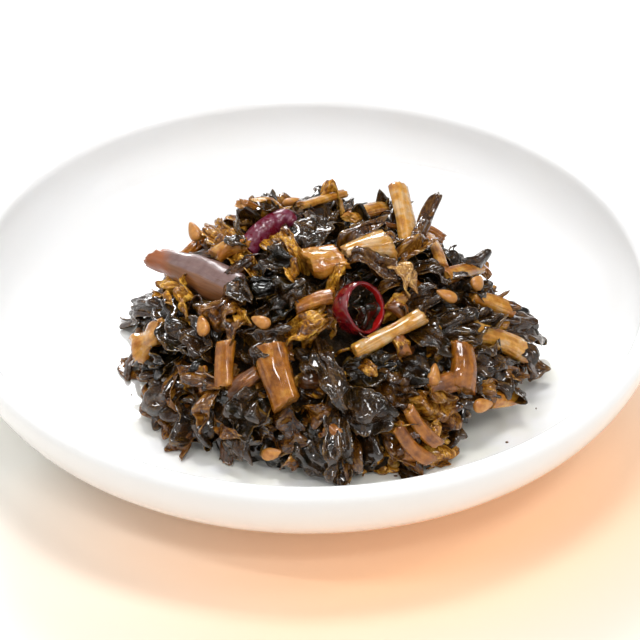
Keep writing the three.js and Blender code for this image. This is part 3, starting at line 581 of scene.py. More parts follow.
def rod_frame(start, end, facing):
    """A rod's length, and its directions along, aside and over it."""
    length = np.linalg.norm(end - start)
    axis = (end - start) / length
    side = unit(np.cross(axis, facing))
    return length, axis, side, np.cross(side, axis)


def rod_rings(rings, sides, caps):
    """How far a rod's rings are drawn in, their share of its length, and the bearings round them."""
    shrink = np.concatenate([caps, np.ones(rings), caps[::-1]])[:, None]
    along = np.concatenate([np.zeros(len(caps)), np.linspace(0, 1, rings), np.ones(len(caps))])[:, None]
    return shrink, along, bearings(sides)[None, :]


def round_places(run, radius, turn):
    """Two sets of places for relief that closes round a rod."""
    return layers(run, radius * np.cos(turn)), layers(run, radius * np.sin(turn))


def stalk_patch(batch, spec):
    """A chopped stalk: a ribbed, slightly bent rod with torn fibres on its cut ends."""
    rng = np.random.default_rng(STALK_SHAPES + spec.seed)
    start, end = lifted(*spec.start), lifted(*spec.end)
    length, axis, side, over = rod_frame(start, end, on_skin(*((start + end) / 2)[:2])[1])
    shrink, along, turn = rod_rings(max(9, round(length / STALK_CELL)), STALK_SIDES, STALK_CAPS)
    places = round_places(0.6 * length * along, 2, turn)
    rough = sum(waves(place, rng, 4, 2.4) for place in places)
    fine = sum(creases(place * [0.4, 1], rng, 3, 0.9) for place in places)
    drift, swell = rng.uniform(0, 6.28), rng.uniform(0, 6.28)
    twist, taper = rng.uniform(-0.5, 0.5), rng.uniform(-1, 1)
    # its section
    around = turn + twist * along
    ribbing = np.abs(np.sin(spec.ribs * around + drift))
    ribbing = ribbing + 0.4 * np.abs(np.sin((2 * spec.ribs + 1) * around + drift)) - 0.7
    radius = 1 + (0.03 + spec.depth) * ribbing + spec.rough * (0.045 * rough + 0.02 * fine)
    widening = spec.flare + min(0.14, 0.03 + 0.08 * spec.rough) * taper
    radius = radius * (1 + 0.08 * np.sin(3 * along + swell) + widening * (2 * along - 1))
    x = squarer(np.cos(turn), 0.85) * radius * shrink
    z = squarer(np.sin(turn), 0.85) * radius * shrink
    z = z - spec.bow * (x**2 - 0.4)
    # its cut and torn ends
    slant = rng.uniform(-0.8, 0.8, 2) * min(1.0, 0.1 + 0.5 * spec.rough)
    cut = np.where(along > 0.5, slant[1], slant[0]) * x * spec.width / 2
    end_face = layers(x * spec.width, z * spec.width) + 9 * along[..., None]
    torn = 0.16 * creases(end_face, rng, 4, 1.1) + 0.2 * waves(end_face, rng, 3, 1.8)
    torn = torn * min(1.2, 0.25 + 0.6 * spec.rough)
    reach = 2.2
    near_end = np.clip((np.abs(2 * along - 1) - 1 + reach / length) * length / reach, 0, 1) ** 2
    run = length * along + near_end * (cut + torn)
    arc = np.sin(math.pi * along)
    height = z * spec.thickness / 2 + (spec.arch * arc + 0.12 * np.sin(4 * along + drift))
    points = moved(start, (run, axis), (x * spec.width / 2 + spec.bend * arc, side), (height, over))
    points = rest_on_dish(points)
    index = vertex_grid(*points.shape[:2], wrapped=True)
    hub, first, last = points[..., 0].size, index[0], index[-1]
    ends = fan(first[1:], first[:-1], hub), fan(last[:-1], last[1:], hub + 1)
    face = np.where(shrink < 0.99, 1.0, 0.0)
    # the last part of the tone is high on the ribs and low in the grooves, where the stalk material paints
    # shade
    tone = layers(spec.tint, face, rng.random(), np.clip(0.5 + 0.6 * ribbing, 0, 1))
    flat = layers(length * along, spec.width * turn)
    capped = (np.vstack([part.reshape(-1, part.shape[-1]), part[[0, -1], 0]]) for part in (flat, tone))
    vertices = np.vstack([points.reshape(-1, 3), points[0].mean(0), points[-1].mean(0)])
    batch.add(vertices, np.vstack([quads_of(index, flip=True), *ends]), *capped)


# ---------------------------------------------------------------- node trees


class Tree:
    """Adds and links nodes in one tree."""

    def __init__(self, tree):
        self.tree = tree

    def put(self, target, value):
        """A value or another node's output into a socket; a colour may come without its alpha."""
        if isinstance(value, bpy.types.NodeSocket):
            self.tree.links.new(value, target)
        elif value is not None:
            target.default_value = (*value, 1) if target.type == "RGBA" and len(value) == 3 else value

    def node(self, kind, values=(), **settings):
        """A new node with its settings, and with its inputs in order or by name."""
        made = self.tree.nodes.new(kind)
        for name, value in settings.items():
            setattr(made, name, value)
        for key, value in values.items() if isinstance(values, dict) else enumerate(values):
            self.put(made.inputs[key], value)
        return made

    def out(self, kind, values=(), output=0, **settings):
        return self.node(kind, values, **settings).outputs[output]

    def math(self, operation, a, b=None, clamp=False):
        return self.out("ShaderNodeMath", (a, b), operation=operation, use_clamp=clamp)

    def times(self, a, b, clamp=False):
        return self.math("MULTIPLY", a, b, clamp)

    def plus(self, a, b, clamp=False):
        return self.math("ADD", a, b, clamp)

    def minus(self, a, b, clamp=False):
        return self.math("SUBTRACT", a, b, clamp)

    def vector(self, operation, *values, output=0):
        return self.out("ShaderNodeVectorMath", values, output, operation=operation)

    def parts(self, vector):
        return self.node("ShaderNodeSeparateXYZ", (vector,)).outputs

    def mix(self, factor, a, b, blend="MIX"):
        values = {0: factor, 6: a, 7: b}
        return self.out("ShaderNodeMix", values, 2, data_type="RGBA", blend_type=blend)

    def dyed(self, base, dye):
        return self.mix(1.0, base, dye, "MULTIPLY")

    def spread(self, value, low, high, new_low=0.0, new_high=1.0):
        return self.out("ShaderNodeMapRange", (value, low, high, new_low, new_high), clamp=True)

    def noise(self, vector, scale, detail=3.0, roughness=0.6, distortion=0.0):
        values = {"Vector": vector, "Scale": scale, "Detail": detail, "Roughness": roughness}
        return self.out("ShaderNodeTexNoise", {**values, "Distortion": distortion}, "Fac")

    def ramp(self, value, *stops):
        made = self.node("ShaderNodeValToRGB", (value,))
        elements = made.color_ramp.elements
        while len(elements) < len(stops):
            elements.new(0.5)
        for element, (place, stop) in zip(elements, stops):
            element.position = place
            element.color = (*stop, 1.0)
        return made.outputs[0]


def spaced(values):
    """Socket names from keywords, which can't hold a space."""
    return {name.replace("_", " "): value for name, value in values.items()}


def open_tree(name, kind, inputs, outputs):
    """A new tree's builder, inputs and outputs. An input is given by its default or its kind alone."""
    tree = bpy.data.node_groups.new(name, kind)
    for in_out, sockets in (("INPUT", inputs), ("OUTPUT", outputs)):
        for label, given in sockets.items():
            plain = {float: "Float", int: "Int"}.get(type(given))
            made = tree.interface.new_socket(
                name=label, in_out=in_out, socket_type="NodeSocket" + (plain or given)
            )
            if plain:
                made.default_value = given
    builder = Tree(tree)
    return builder, builder.node("NodeGroupInput").outputs, builder.node("NodeGroupOutput").inputs


def wrinkle_group():
    """Fine puckers of wet cooked skin: a height, and how dull the surface is."""
    inputs = {"Vector": "Vector", "Scale": 1.0, "Stretch": 1.0, "Dull Low": 0.18, "Dull High": 0.45}
    outputs = {"Height": "Float", "Roughness": "Float"}
    tree, given, result = open_tree("Wet Wrinkles", "ShaderNodeTree", inputs, outputs)
    stretch = tree.out("ShaderNodeCombineXYZ", (given["Stretch"], 1.0, 1.0))
    vector, scale = tree.vector("MULTIPLY", given["Vector"], stretch), given["Scale"]
    broad = tree.noise(vector, tree.times(scale, 0.9), 2.0, 0.5, 0.6)
    fine = tree.noise(vector, tree.times(scale, 2.3), 2.0, 0.55, 0.8)
    cells = {"Vector": vector, "Scale": tree.times(scale, 0.8)}
    border = tree.out("ShaderNodeTexVoronoi", cells, "Distance", feature="DISTANCE_TO_EDGE")
    fold, pucker = (tree.math("ABSOLUTE", tree.minus(part, 0.5)) for part in (broad, fine))
    height = tree.plus(tree.times(fold, 1.5), tree.times(pucker, 0.9))
    vein = tree.times(tree.spread(border, 0.0, 0.16), 0.16)
    tree.put(result["Height"], tree.minus(height, vein))
    patch = tree.noise(vector, tree.times(scale, 0.5), 2.0, 0.5)
    tree.put(result["Roughness"], tree.spread(patch, 0.35, 0.68, given["Dull Low"], given["Dull High"]))
    return tree.tree


def fibre_group():
    """Streaks that follow a stalk: a mask and a height, both from its own UV map."""
    inputs, outputs = {"Vector": "Vector", "Pitch": 4.0}, {"Streak": "Float", "Height": "Float"}
    tree, given, result = open_tree("Fibres", "ShaderNodeTree", inputs, outputs)
    shape = tree.vector("MULTIPLY", given["Vector"], (0.12, 1.0, 1.0))
    coarse = tree.noise(shape, given["Pitch"], 3.0, 0.7, 0.2)
    fine = tree.noise(shape, tree.times(given["Pitch"], 3.0), 2.0, 0.6, 0.1)
    streak = tree.plus(tree.times(coarse, 0.65), tree.times(fine, 0.35))
    tree.put(result["Streak"], tree.spread(streak, 0.36, 0.64))
    tree.put(result["Height"], streak)
    return tree.tree


class Surface(Tree):
    """A material's tree; place is the object's coordinates in millimetres."""

    def __init__(self, name):
        self.material = bpy.data.materials.new(name)
        self.material.use_nodes = True
        super().__init__(self.material.node_tree)
        self.tree.nodes.clear()
        coordinates = self.out("ShaderNodeTexCoord", output="Object")
        self.place = self.out("ShaderNodeMapping", {"Vector": coordinates, "Scale": (1 / MM,) * 3})

    def uv(self):
        return self.out("ShaderNodeUVMap", uv_map="run")

    def tone(self):
        """The four parts of the mesh's tone."""
        whole = self.node("ShaderNodeAttribute", attribute_name="tone").outputs
        parts = self.node("ShaderNodeSeparateColor", (whole["Color"],)).outputs
        return *parts[:3], whole["Alpha"]

    def patches(self, scale, detail, *span, roughness=0.6):
        """Noise over the object, spread between limits."""
        return self.spread(self.noise(self.place, scale, detail, roughness), *span)

    def group(self, name, build, **values):
        """A shared group's outputs; the group is built at its first use."""
        tree = bpy.data.node_groups.get(name) or build()
        return self.node("ShaderNodeGroup", spaced(values), node_tree=tree).outputs

    def wrinkles(self, vector, **values):
        return self.group("Wet Wrinkles", wrinkle_group, Vector=vector, **values)

    def fibres(self, pitch):
        return self.group("Fibres", fibre_group, Vector=self.uv(), Pitch=pitch)

    def finish(self, base, bump=None, **values):
        """The material, with a bump given by its height, strength and depth."""
        values = {"Base Color": base, **spaced(values)}
        if bump:
            height, strength, depth = bump
            relief = {"Height": height, "Strength": strength, "Distance": depth * MM}
            values["Normal"] = self.out("ShaderNodeBump", relief)
        self.node("ShaderNodeOutputMaterial", (self.out("ShaderNodeBsdfPrincipled", values),))
        return self.material


LEAF_GREEN = (0.013, 0.0125, 0.004)
LEAF_BROWN = (0.06, 0.026, 0.005)
LEAF_OLIVE = (0.17, 0.085, 0.012)
# pale tan for tints over 1, a painted highlight on the silver flake
LEAF_TAN = (0.72, 0.5, 0.27)
OLIVE_EDGE = (0.34, 0.18, 0.025)
RIB_BROWN = (0.12, 0.06, 0.018)


def leaf_material():
    shader = Surface("wet leaf")
    tint, edge, chance, rib = shader.tone()
    own = shader.vector("ADD", shader.uv(), shader.times(chance, 57.0))
    wrinkles = shader.wrinkles(own, Scale=1.8, Stretch=0.6, Dull_Low=0.06, Dull_High=0.2)
    dark = tuple(bpy.context.scene.greens_mound.leaf)
    base = shader.mix(shader.patches(0.35, 3.0, 0.42, 0.62), dark, LEAF_GREEN)
    brown = shader.plus(shader.noise(shader.place, 0.6), shader.times(chance, 0.35))
    base = shader.mix(shader.spread(brown, 0.6, 0.85), base, LEAF_BROWN)
    # the lighter leaves, specked with brown
    speck = shader.noise(own, 0.75, 4.0, 0.68, 0.8)
    amber = shader.ramp(
        speck,
        (0.32, (0.07, 0.022, 0.003)),
        (0.41, (0.3, 0.105, 0.007)),
        (0.49, (0.66, 0.29, 0.018)),
        (0.6, (0.92, 0.52, 0.075)),
    )
    tinted = shader.mix(shader.spread(tint, 0.4, 0.95), shader.dyed(amber, (0.66, 0.5, 0.38)), amber)
    # tints over 1 turn pale tan: a painted highlight
    tinted = shader.mix(shader.spread(tint, 1.0, 1.6), tinted, LEAF_TAN)
    share = shader.times(tint, shader.spread(speck, 0.3, 0.46, 0.5, 1.1), True)
    base = shader.mix(share, base, tinted)
    patch = shader.times(shader.spread(speck, 0.52, 0.62), shader.spread(chance, 0.2, 0.8, 0.0, 0.5))
    patch = shader.times(patch, shader.spread(tint, 0.0, 0.5, 1.0, 0.0))
    base = shader.mix(patch, base, LEAF_OLIVE)
    # pale torn edges, brown ribs, and painted shade that makes the wrinkles' hollows darker and browner
    rim = shader.times(shader.math("POWER", edge, 14.0), shader.patches(0.9, 2.0, 0.4, 0.65), True)
    base = shader.mix(shader.times(rim, 0.75), base, OLIVE_EDGE)
    base = shader.mix(shader.times(rib, 0.8, True), base, RIB_BROWN)
    # painted shade in the hollows of the wrinkles
    hollow = shader.spread(wrinkles["Height"], 0.0, 0.2, 0.8, 0.0)
    base = shader.mix(hollow, base, shader.dyed(base, (0.3, 0.2, 0.12)))
    film = shader.patches(0.5, 2.0, 0.36, 0.54, 0.3, 1.0)
    return shader.finish(
        base,
        (wrinkles["Height"], 1.0, 0.34),
        Roughness=wrinkles["Roughness"],
        Specular_IOR_Level=0.1,
        Coat_Weight=shader.times(film, shader.spread(tint, 0.0, 1.0, 1.0, 0.6)),
        Coat_Roughness=0.05,
        Coat_IOR=1.72,
    )


def stalk_material():
    shader = Surface("wet stalk")
    tint, face, _, top = shader.tone()
    fibres = shader.fibres(1.7)
    wrinkles = shader.wrinkles(shader.place, Scale=1.6, Dull_Low=0.08, Dull_High=0.24)
    base = shader.ramp(
        shader.plus(tint, shader.patches(0.5, 3.0, 0.32, 0.68, 0.24, -0.14), True),
        (0.0, (0.74, 0.5, 0.25)),
        (0.18, bpy.context.scene.greens_mound.stalk),
        (0.38, (0.47, 0.165, 0.01)),
        (0.62, (0.2, 0.06, 0.005)),
        (1.0, (0.04, 0.017, 0.005)),
    )
    # fibre streaks are the stalk's own stains; the darkening in the grooves between ribs is painted shade
    groove = shader.spread(top, 0.15, 0.75, 0.36, 0.0)
    stain = shader.plus(shader.times(fibres["Streak"], 0.34), groove, True)
    base = shader.mix(stain, base, shader.dyed(base, (0.34, 0.22, 0.14)))
    base = shader.mix(shader.times(face, 0.25), base, (0.5, 0.24, 0.05))
    height = shader.plus(shader.times(fibres["Height"], 0.7), wrinkles["Height"])
    return shader.finish(
        base,
        (height, 0.5, 0.25),
        Roughness=wrinkles["Roughness"],
        Specular_IOR_Level=0.2,
        Coat_Weight=0.9,
        Coat_Roughness=0.05,
        Coat_IOR=1.55,
        Subsurface_Weight=0.35,
        Subsurface_Radius=(1.0, 0.55, 0.2),
        Subsurface_Scale=0.6 * MM,
    )


def core_material():
    shader = Surface("packed greens")
    wrinkles = shader.wrinkles(shader.place, Scale=1.1)
    base = shader.ramp(
        shader.noise(shader.place, 0.5, 4.0, 0.65),
        (0.35, (0.006, 0.005, 0.003)),
        (0.55, (0.02, 0.011, 0.004)),
        (0.72, (0.07, 0.03, 0.008)),
    )
    bump = (wrinkles["Height"], 0.8, 0.5)
    return shader.finish(base, bump, Roughness=wrinkles["Roughness"], Specular_IOR_Level=0.1)


def glaze_material():
    shader = Surface("white glaze")
    white = tuple(bpy.context.scene.greens_dish.glaze)
    cloud = shader.patches(0.06, 2.0, 0.35, 0.65, 0, 0.5, roughness=0.5)
    base = shader.mix(cloud, white, (0.95, 0.945, 0.93))
    return shader.finish(
        shader.mix(oil_mask(shader), base, (0.86, 0.84, 0.62)),
        (shader.noise(shader.place, 0.12, 1.0), 0.08, 1.2),
        Roughness=shader.patches(0.5, 2.0, 0.3, 0.7, 0.06, 0.1),
        IOR=1.5,
        Specular_IOR_Level=0.25,
        Coat_Weight=0.2,
        Coat_Roughness=0.03,
    )


def oil_mask(shader):
    """Faint oil that has seeped on to the glaze round the mound's foot."""
    x, y, z = shader.parts(shader.place)
    across = shader.math("DIVIDE", shader.minus(x, MOUND_X), MOUND_HALF_WIDTH)
    along = shader.math("DIVIDE", shader.minus(y, MOUND_Y), MOUND_FRONT)
    squares = (shader.math("POWER", part, 2.0) for part in (across, along))
    reach = shader.math("SQRT", shader.plus(*squares))
    uneven = shader.plus(reach, shader.patches(0.16, 2.0, 0.3, 0.7, -0.16, 0.16))
    low = shader.spread(z, FLOOR_HEIGHT + 0.5, FLOOR_HEIGHT + 3, 1.0, 0.0)
    return shader.times(shader.times(shader.spread(uneven, 0.98, 1.2, 1.0, 0.0), low), 0.3)


def seed_material():
    shader = Surface("toasted sesame")
    toasted = tuple(bpy.context.scene.greens_toppings.seed)
    return shader.finish(
        shader.mix(shader.patches(1.2, 3.0, 0.35, 0.7), toasted, (0.36, 0.12, 0.02)),
        (shader.noise(shader.place, 3.0), 0.25, 0.12),
        Roughness=shader.patches(2.0, 3.0, 0.3, 0.7, 0.28, 0.5),
        IOR=1.45,
        Coat_Weight=0.5,
        Coat_Roughness=0.1,
        Subsurface_Weight=0.2,
        Subsurface_Radius=(1.0, 0.5, 0.2),
        Subsurface_Scale=0.8 * MM,
    )


def chilli_material():
    shader = Surface("red chilli")
    _, inner, _, _ = shader.tone()
    skin = tuple(bpy.context.scene.greens_toppings.chilli)
    base = shader.mix(shader.patches(0.8, 2.0, 0.35, 0.7), skin, (0.1, 0.002, 0.006))
    return shader.finish(
        shader.mix(inner, base, (0.5, 0.008, 0.008)),
        (shader.noise(shader.place, 1.2, 2.0), 0.25, 0.2),
        Roughness=shader.patches(1.0, 3.0, 0.3, 0.7, 0.08, 0.22),
        IOR=1.5,
        Coat_Weight=0.8,
        Coat_Roughness=0.05,
        Subsurface_Weight=0.1,
        Subsurface_Radius=(1.0, 0.1, 0.05),
        Subsurface_Scale=0.6 * MM,
    )


def dark_chilli_material():
    shader = Surface("purple chilli skin")
    _, cut, _, _ = shader.tone()
    patch = shader.noise(shader.place, 1.1, 4.0, 0.65, 0.5)
    # the lightest, lilac stop is a painted sheen in patches over the dark purple skin
    base = shader.ramp(
        patch, (0.4, (0.13, 0.003, 0.012)), (0.54, (0.15, 0.014, 0.04)), (0.68, (0.24, 0.085, 0.13))
    )
    return shader.finish(
        shader.mix(cut, base, (0.1, 0.002, 0.006)),
        (shader.noise(shader.place, 2.4), 0.3, 0.15),
        Roughness=shader.spread(patch, 0.35, 0.7, 0.2, 0.5),
        IOR=1.45,
        Coat_Weight=0.4,
        Coat_Roughness=0.12,
    )


def purple_stalk_material():
    shader = Surface("purple-skinned stalk")
    _, face, _, flesh = shader.tone()
    fibres = shader.fibres(1.0)
    inside = shader.mix(fibres["Streak"], (0.26, 0.1, 0.03), (0.13, 0.045, 0.014))
    skin = shader.mix(shader.patches(0.8, 3.0, 0.3, 0.7), (0.17, 0.1, 0.088), (0.26, 0.175, 0.16))
    skin = shader.mix(shader.times(fibres["Streak"], 0.5), skin, (0.13, 0.055, 0.05))
    base = shader.mix(shader.spread(flesh, 0.35, 0.75), skin, inside)
    cut = shader.minus(shader.times(face, 1.6), shader.noise(shader.place, 0.7), True)
    return shader.finish(
        shader.mix(cut, base, (0.3, 0.085, 0.02)),
        (fibres["Height"], 0.2, 0.2),
        Roughness=shader.spread(fibres["Streak"], 0, 1, 0.26, 0.4),
        Specular_IOR_Level=0.5,
        Coat_Weight=0.25,
        Coat_Roughness=0.12,
        Subsurface_Weight=0.15,
        Subsurface_Radius=(1.0, 0.4, 0.15),
        Subsurface_Scale=1.0 * MM,
    )


def crumb_material():
    shader = Surface("spice crumb")
    base = shader.mix(shader.noise(shader.place, 3.0), (0.2, 0.06, 0.01), (0.03, 0.015, 0.006))
    return shader.finish(base, Roughness=0.4)


def table_material():
    """Cream, with painted warm shade in peach round the front and right of the dish, where its shadow falls,
    and a painted glow there.
    """
    shader = Surface("pale table")
    x, y, _ = shader.parts(shader.place)
    away = shader.vector("LENGTH", shader.place, output="Value")
    # painted shade: peach only near the dish, towards its front and right
    close = shader.spread(away, 44.0, 78.0, 1.0, 0.0)
    toward = shader.minus(shader.times(x, 0.6), y)
    warm = shader.times(close, shader.spread(toward, -4.0, 52.0, 0.0, 1.0))
    base = shader.mix(warm, (0.93, 0.915, 0.86), tuple(bpy.context.scene.greens_stage.floor))
    # painted light: a faint peach glow on the table round the dish brightens the dish's shadow
    soaked = shader.times(warm, shader.spread(away, 47.0, 66.0, 1.0, 0.2))
    return shader.finish(
        base,
        Emission_Color=shader.mix(soaked, (0, 0, 0), (0.2, 0.12, 0.075)),
        Emission_Strength=1.0,
        Roughness=shader.patches(0.02, 3.0, 0.3, 0.7, 0.5, 0.6),
    )


def geometry_tree(name, **inputs):
    inputs = {"Geometry": "Geometry", **inputs, "Material": "Material"}
    return open_tree(name, "GeometryNodeTree", inputs, {"Geometry": "Geometry"})


def end_tree(tree, given, result, geometry):
    """Every geometry tree ends in real geometry with its material set."""
    real = tree.out("GeometryNodeRealizeInstances", (geometry,))
    dressed = {"Geometry": real, "Material": given["Material"]}
    tree.put(result[0], tree.out("GeometryNodeSetMaterial", dressed))
    return tree.tree


def run_tree(tree, points, edges, values, attributes=()):
    """The mesh that a tree makes from a plain set of points and edges."""
    seed_mesh = bpy.data.meshes.new("seed points")
    seed_mesh.from_pydata([tuple(p) for p in points], edges, [])
    for label, kind, data in attributes:
        layer = seed_mesh.attributes.new(label, kind, "POINT")
        field = "vector" if kind == "FLOAT_VECTOR" else "value"
        layer.data.foreach_set(field, np.asarray(data, dtype=float).ravel())
    holder = add_object("seed points", seed_mesh)
    modifier = holder.modifiers.new("tree", "NODES")
    modifier.node_group = tree
    for item in tree.interface.items_tree:
        if item.in_out == "INPUT" and item.name in values:
            modifier[item.identifier] = values[item.name]
    evaluated = holder.evaluated_get(bpy.context.evaluated_depsgraph_get())
    mesh = bpy.data.meshes.new_from_object(evaluated)
    holder.modifiers.remove(modifier)
    bpy.data.objects.remove(holder)
    bpy.data.meshes.remove(seed_mesh)
    if not len(mesh.polygons):
        raise RuntimeError(f"{tree.name} made no faces")
    return mesh


def revolve_tree():
    """Turns a profile about the axis. The profile's x is counted outwards from the given radius."""
    tree, given, result = geometry_tree("Turned Dish", Radius=0.049, Segments=128)
    circle = {"Radius": given["Radius"], "Resolution": given["Segments"]}
    circle = tree.out("GeometryNodeCurvePrimitiveCircle", circle)
    profile = tree.out("GeometryNodeMeshToCurve", (given["Geometry"],))
    turned = tree.out("GeometryNodeCurveToMesh", {"Curve": circle, "Profile Curve": profile})
    merged = tree.out("GeometryNodeMergeByDistance", {"Geometry": turned, "Distance": 1e-6})
    return end_tree(tree, given, result, tree.out("GeometryNodeSetShadeSmooth", (merged,)))


def named(tree, name, data_type="FLOAT"):
    """A named attribute of the tree's points."""
    return tree.out("GeometryNodeInputNamedAttribute", {"Name": name}, "Attribute", data_type=data_type)


def seed_tree():
    """A teardrop seed on each point, turned by the point's own angles."""
    tree, given, result = geometry_tree("Sesame Seeds", Length=0.0033, Width=0.002, Thickness=0.0011)
    ball = {"Segments": 20, "Rings": 14, "Radius": 0.5}
    ball = tree.out("GeometryNodeMeshUVSphere", ball, "Mesh")
    x, y, z = tree.parts(tree.out("GeometryNodeInputPosition"))
    narrowing = tree.plus(1.0, tree.times(x, -0.85))
    wide = tree.times(tree.times(y, given["Width"]), narrowing)
    thick = tree.times(tree.times(z, given["Thickness"]), narrowing)
    shape = tree.out("ShaderNodeCombineXYZ", (tree.times(x, given["Length"]), wide, thick))
    seed = tree.out("GeometryNodeSetPosition", {"Geometry": ball, "Position": shape})
    placed = {
        "Points": given["Geometry"],
        "Instance": tree.out("GeometryNodeSetShadeSmooth", (seed,)),
        "Rotation": named(tree, "turn", "FLOAT_VECTOR"),
        "Scale": named(tree, "size"),
    }
    return end_tree(tree, given, result, tree.out("GeometryNodeInstanceOnPoints", placed))


def thread_tree():
    """Thin round threads along poly lines."""
    tree, given, result = geometry_tree("Leaf Threads", Radius=0.0001)
    line = tree.out("GeometryNodeMeshToCurve", (given["Geometry"],))
    circle = {"Resolution": 7, "Radius": given["Radius"]}
    circle = tree.out("GeometryNodeCurvePrimitiveCircle", circle)
    thick = named(tree, "thick")
    line = tree.out("GeometryNodeSetCurveRadius", {"Curve": line, "Radius": thick})
    sweep = {"Curve": line, "Profile Curve": circle, "Scale": thick, "Fill Caps": True}
    thread = tree.out("GeometryNodeCurveToMesh", sweep)
    return end_tree(tree, given, result, tree.out("GeometryNodeSetShadeSmooth", (thread,)))


def crumb_tree():
    """A small rough grain on each point."""
    tree, given, result = geometry_tree("Crumbs", Radius=0.0002, Seed=4)
    grain = {"Subdivisions": 2, "Radius": given["Radius"]}
    sizes = {"Min": (0.4, 0.4, 0.25), "Max": (1.5, 1.2, 0.7), "Seed": given["Seed"]}
    placed = {
        "Points": given["Geometry"],
        "Instance": tree.out("GeometryNodeMeshIcoSphere", grain, "Mesh"),
        "Scale": tree.out("FunctionNodeRandomValue", sizes, "Value", data_type="FLOAT_VECTOR"),
    }
    return end_tree(tree, given, result, tree.out("GeometryNodeInstanceOnPoints", placed))


# ---------------------------------------------------------------- the pieces

SHEAF = 30  # leaves in one piece, which keeps its mesh small enough
COARSER = 1.35  # cells of the leaves that weren't placed by eye
THREADS, THREAD_STEPS, CRUMBS = 16, 14, 9


def quarter_curve(steps, exponent):
    """Quarter of a superellipse from (0, -1) to (1, 0)."""
    angle = np.linspace(0, math.pi / 2, steps + 1)
    return np.stack([np.sin(angle) ** (2 / exponent), -(np.cos(angle) ** (2 / exponent))], -1)


def dish_profile(foot_outer):
    """Section of the dish from the middle of its floor over the rim to the middle of its underside."""
    half, steps = RIM_WIDTH / 2, 28
    belly_radius, belly_height, foot_inner, recess, bevel = 25.0, 2.25, 22.2, 1.9, 0.25
    floor = [(r, FLOOR_HEIGHT) for r in np.linspace(0, FLOOR_RADIUS, 8)[:-1]]
    wall = [
        (FLOOR_RADIUS + out * (RIM_INNER - FLOOR_RADIUS), RIM_MIDDLE + down * (RIM_MIDDLE - FLOOR_HEIGHT))
        for out, down in quarter_curve(steps, INSIDE_ROUNDNESS)
    ]
    rim = [
        (RIM_RADIUS - half + half * math.cos(a), RIM_MIDDLE + half * math.sin(a))
        for a in np.linspace(math.pi, 0, 13)[1:-1]
    ]
    outer = [
        (belly_radius + out * (RIM_RADIUS - belly_radius), RIM_MIDDLE + down * (RIM_MIDDLE - belly_height))
        for out, down in quarter_curve(steps, 2.0)[::-1]
    ]
    foot = [
        (foot_outer, bevel),
        (foot_outer - bevel, 0),
        (foot_inner + bevel, 0),
        (foot_inner, bevel),
        (foot_inner - 0.5, recess - 0.2),
        (foot_inner - 0.9, recess),
        (0, recess),
    ]
    return floor + wall + rim + outer + foot


def make_dish():
    settings = bpy.context.scene.greens_dish
    # the sweep's profile lies in its own XY plane: x counts outwards from the circle, y downwards
    points = [((r - RIM_RADIUS) * MM, -z * MM, 0.0) for r, z in dish_profile(settings.foot_radius / MM)]
    edges = [(i, i + 1) for i in range(len(points) - 1)]
    values = {"Radius": RIM_RADIUS * MM, "Segments": settings.segments, "Material": glaze_material()}
    mesh = run_tree(revolve_tree(), points, edges, values)
    settle_mesh(mesh)
    dish = add_piece("dish_glazed", mesh, None)
    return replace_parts(dish, "dish")


def notch(angle):
    """Share by which the mound's foot draws in at a bearing; most at its front right."""
    return bell(np.arctan2(np.sin(angle), np.cos(angle)) + math.radians(33), math.radians(15))


def make_core():
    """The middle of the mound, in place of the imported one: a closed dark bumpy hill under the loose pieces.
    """
    rng = np.random.default_rng(11)
    tilt, turn = np.linspace(0, math.pi / 2, 90)[:, None], bearings(220)[None, :]
    direction = layers(np.sin(tilt) * np.cos(turn), np.sin(tilt) * np.sin(turn), np.cos(tilt))
    flat = direction[..., :2] * 30
    relief = 0.8 * waves(flat, rng, 6, 8.0) + 0.35 * creases(flat, rng, 5, 3.5)
    relief = relief + 0.15 * creases(flat, rng, 5, 1.4)
    drawn_in = 5.5 * notch(turn) * np.sin(tilt) ** 3
    points = rest_on_dish(along_ray(direction, relief - 1.6 - drawn_in), 0.25)
    index = vertex_grid(*points.shape[:2], wrapped=True)
    under = points[-1].mean(0)
    under[2] = points[-1, :, 2].min()
    vertices = np.vstack([points.reshape(-1, 3), under])
    quads = np.vstack([quads_of(index), fan(index[-1, 1:], index[-1, :-1], len(vertices) - 1)])
    patch = (vertices, quads, np.zeros((len(vertices), 2)), np.zeros((len(vertices), 4)))
    core = closed_piece("greens_core", patch, core_material())
    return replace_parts(core, "greens_mound")


def spread_places(count, seed, jitter):
    """Places over the whole skin, evenly spread by the golden angle and then jittered."""
    rng = np.random.default_rng(seed)
    for i in range(count):
        reach = math.sqrt((i + 0.5) / count)
        angle = i * GOLDEN_ANGLE
        swell = math.sin(reach * math.pi / 2) ** 0.9 * (1 - 0.2 * notch(angle))
        depth = MOUND_FRONT if math.sin(angle) < 0 else MOUND_BACK
        x = MOUND_X + swell * 0.985 * MOUND_HALF_WIDTH * math.cos(angle) + rng.uniform(-jitter, jitter)
        y = MOUND_Y + swell * 0.985 * depth * math.sin(angle) + rng.uniform(-jitter, jitter)
        yield i, x, y, rng


def numbered(pieces):
    """Pieces with their place in the list as the seed of their random shape."""
    return [piece._replace(seed=number + 1) for number, piece in enumerate(pieces)]


def draws(rng, *spans):
    return [rng.uniform(*span) for span in spans]


def backness(y):
    """1 at the back, which has no placed pieces, so that its fillers stand higher; 0 elsewhere."""
    return 0.5 + 0.5 * math.tanh((y - 11) / 3)


def tint_shares(amber):
    """Chances of the five leaf tints, from dark to amber."""
    weights = np.array([0.64, 0.16, 0.06, 0.07, 0.07]) + amber * np.array([-0.26, -0.04, 0.05, 0.12, 0.13])
    return weights / weights.sum()


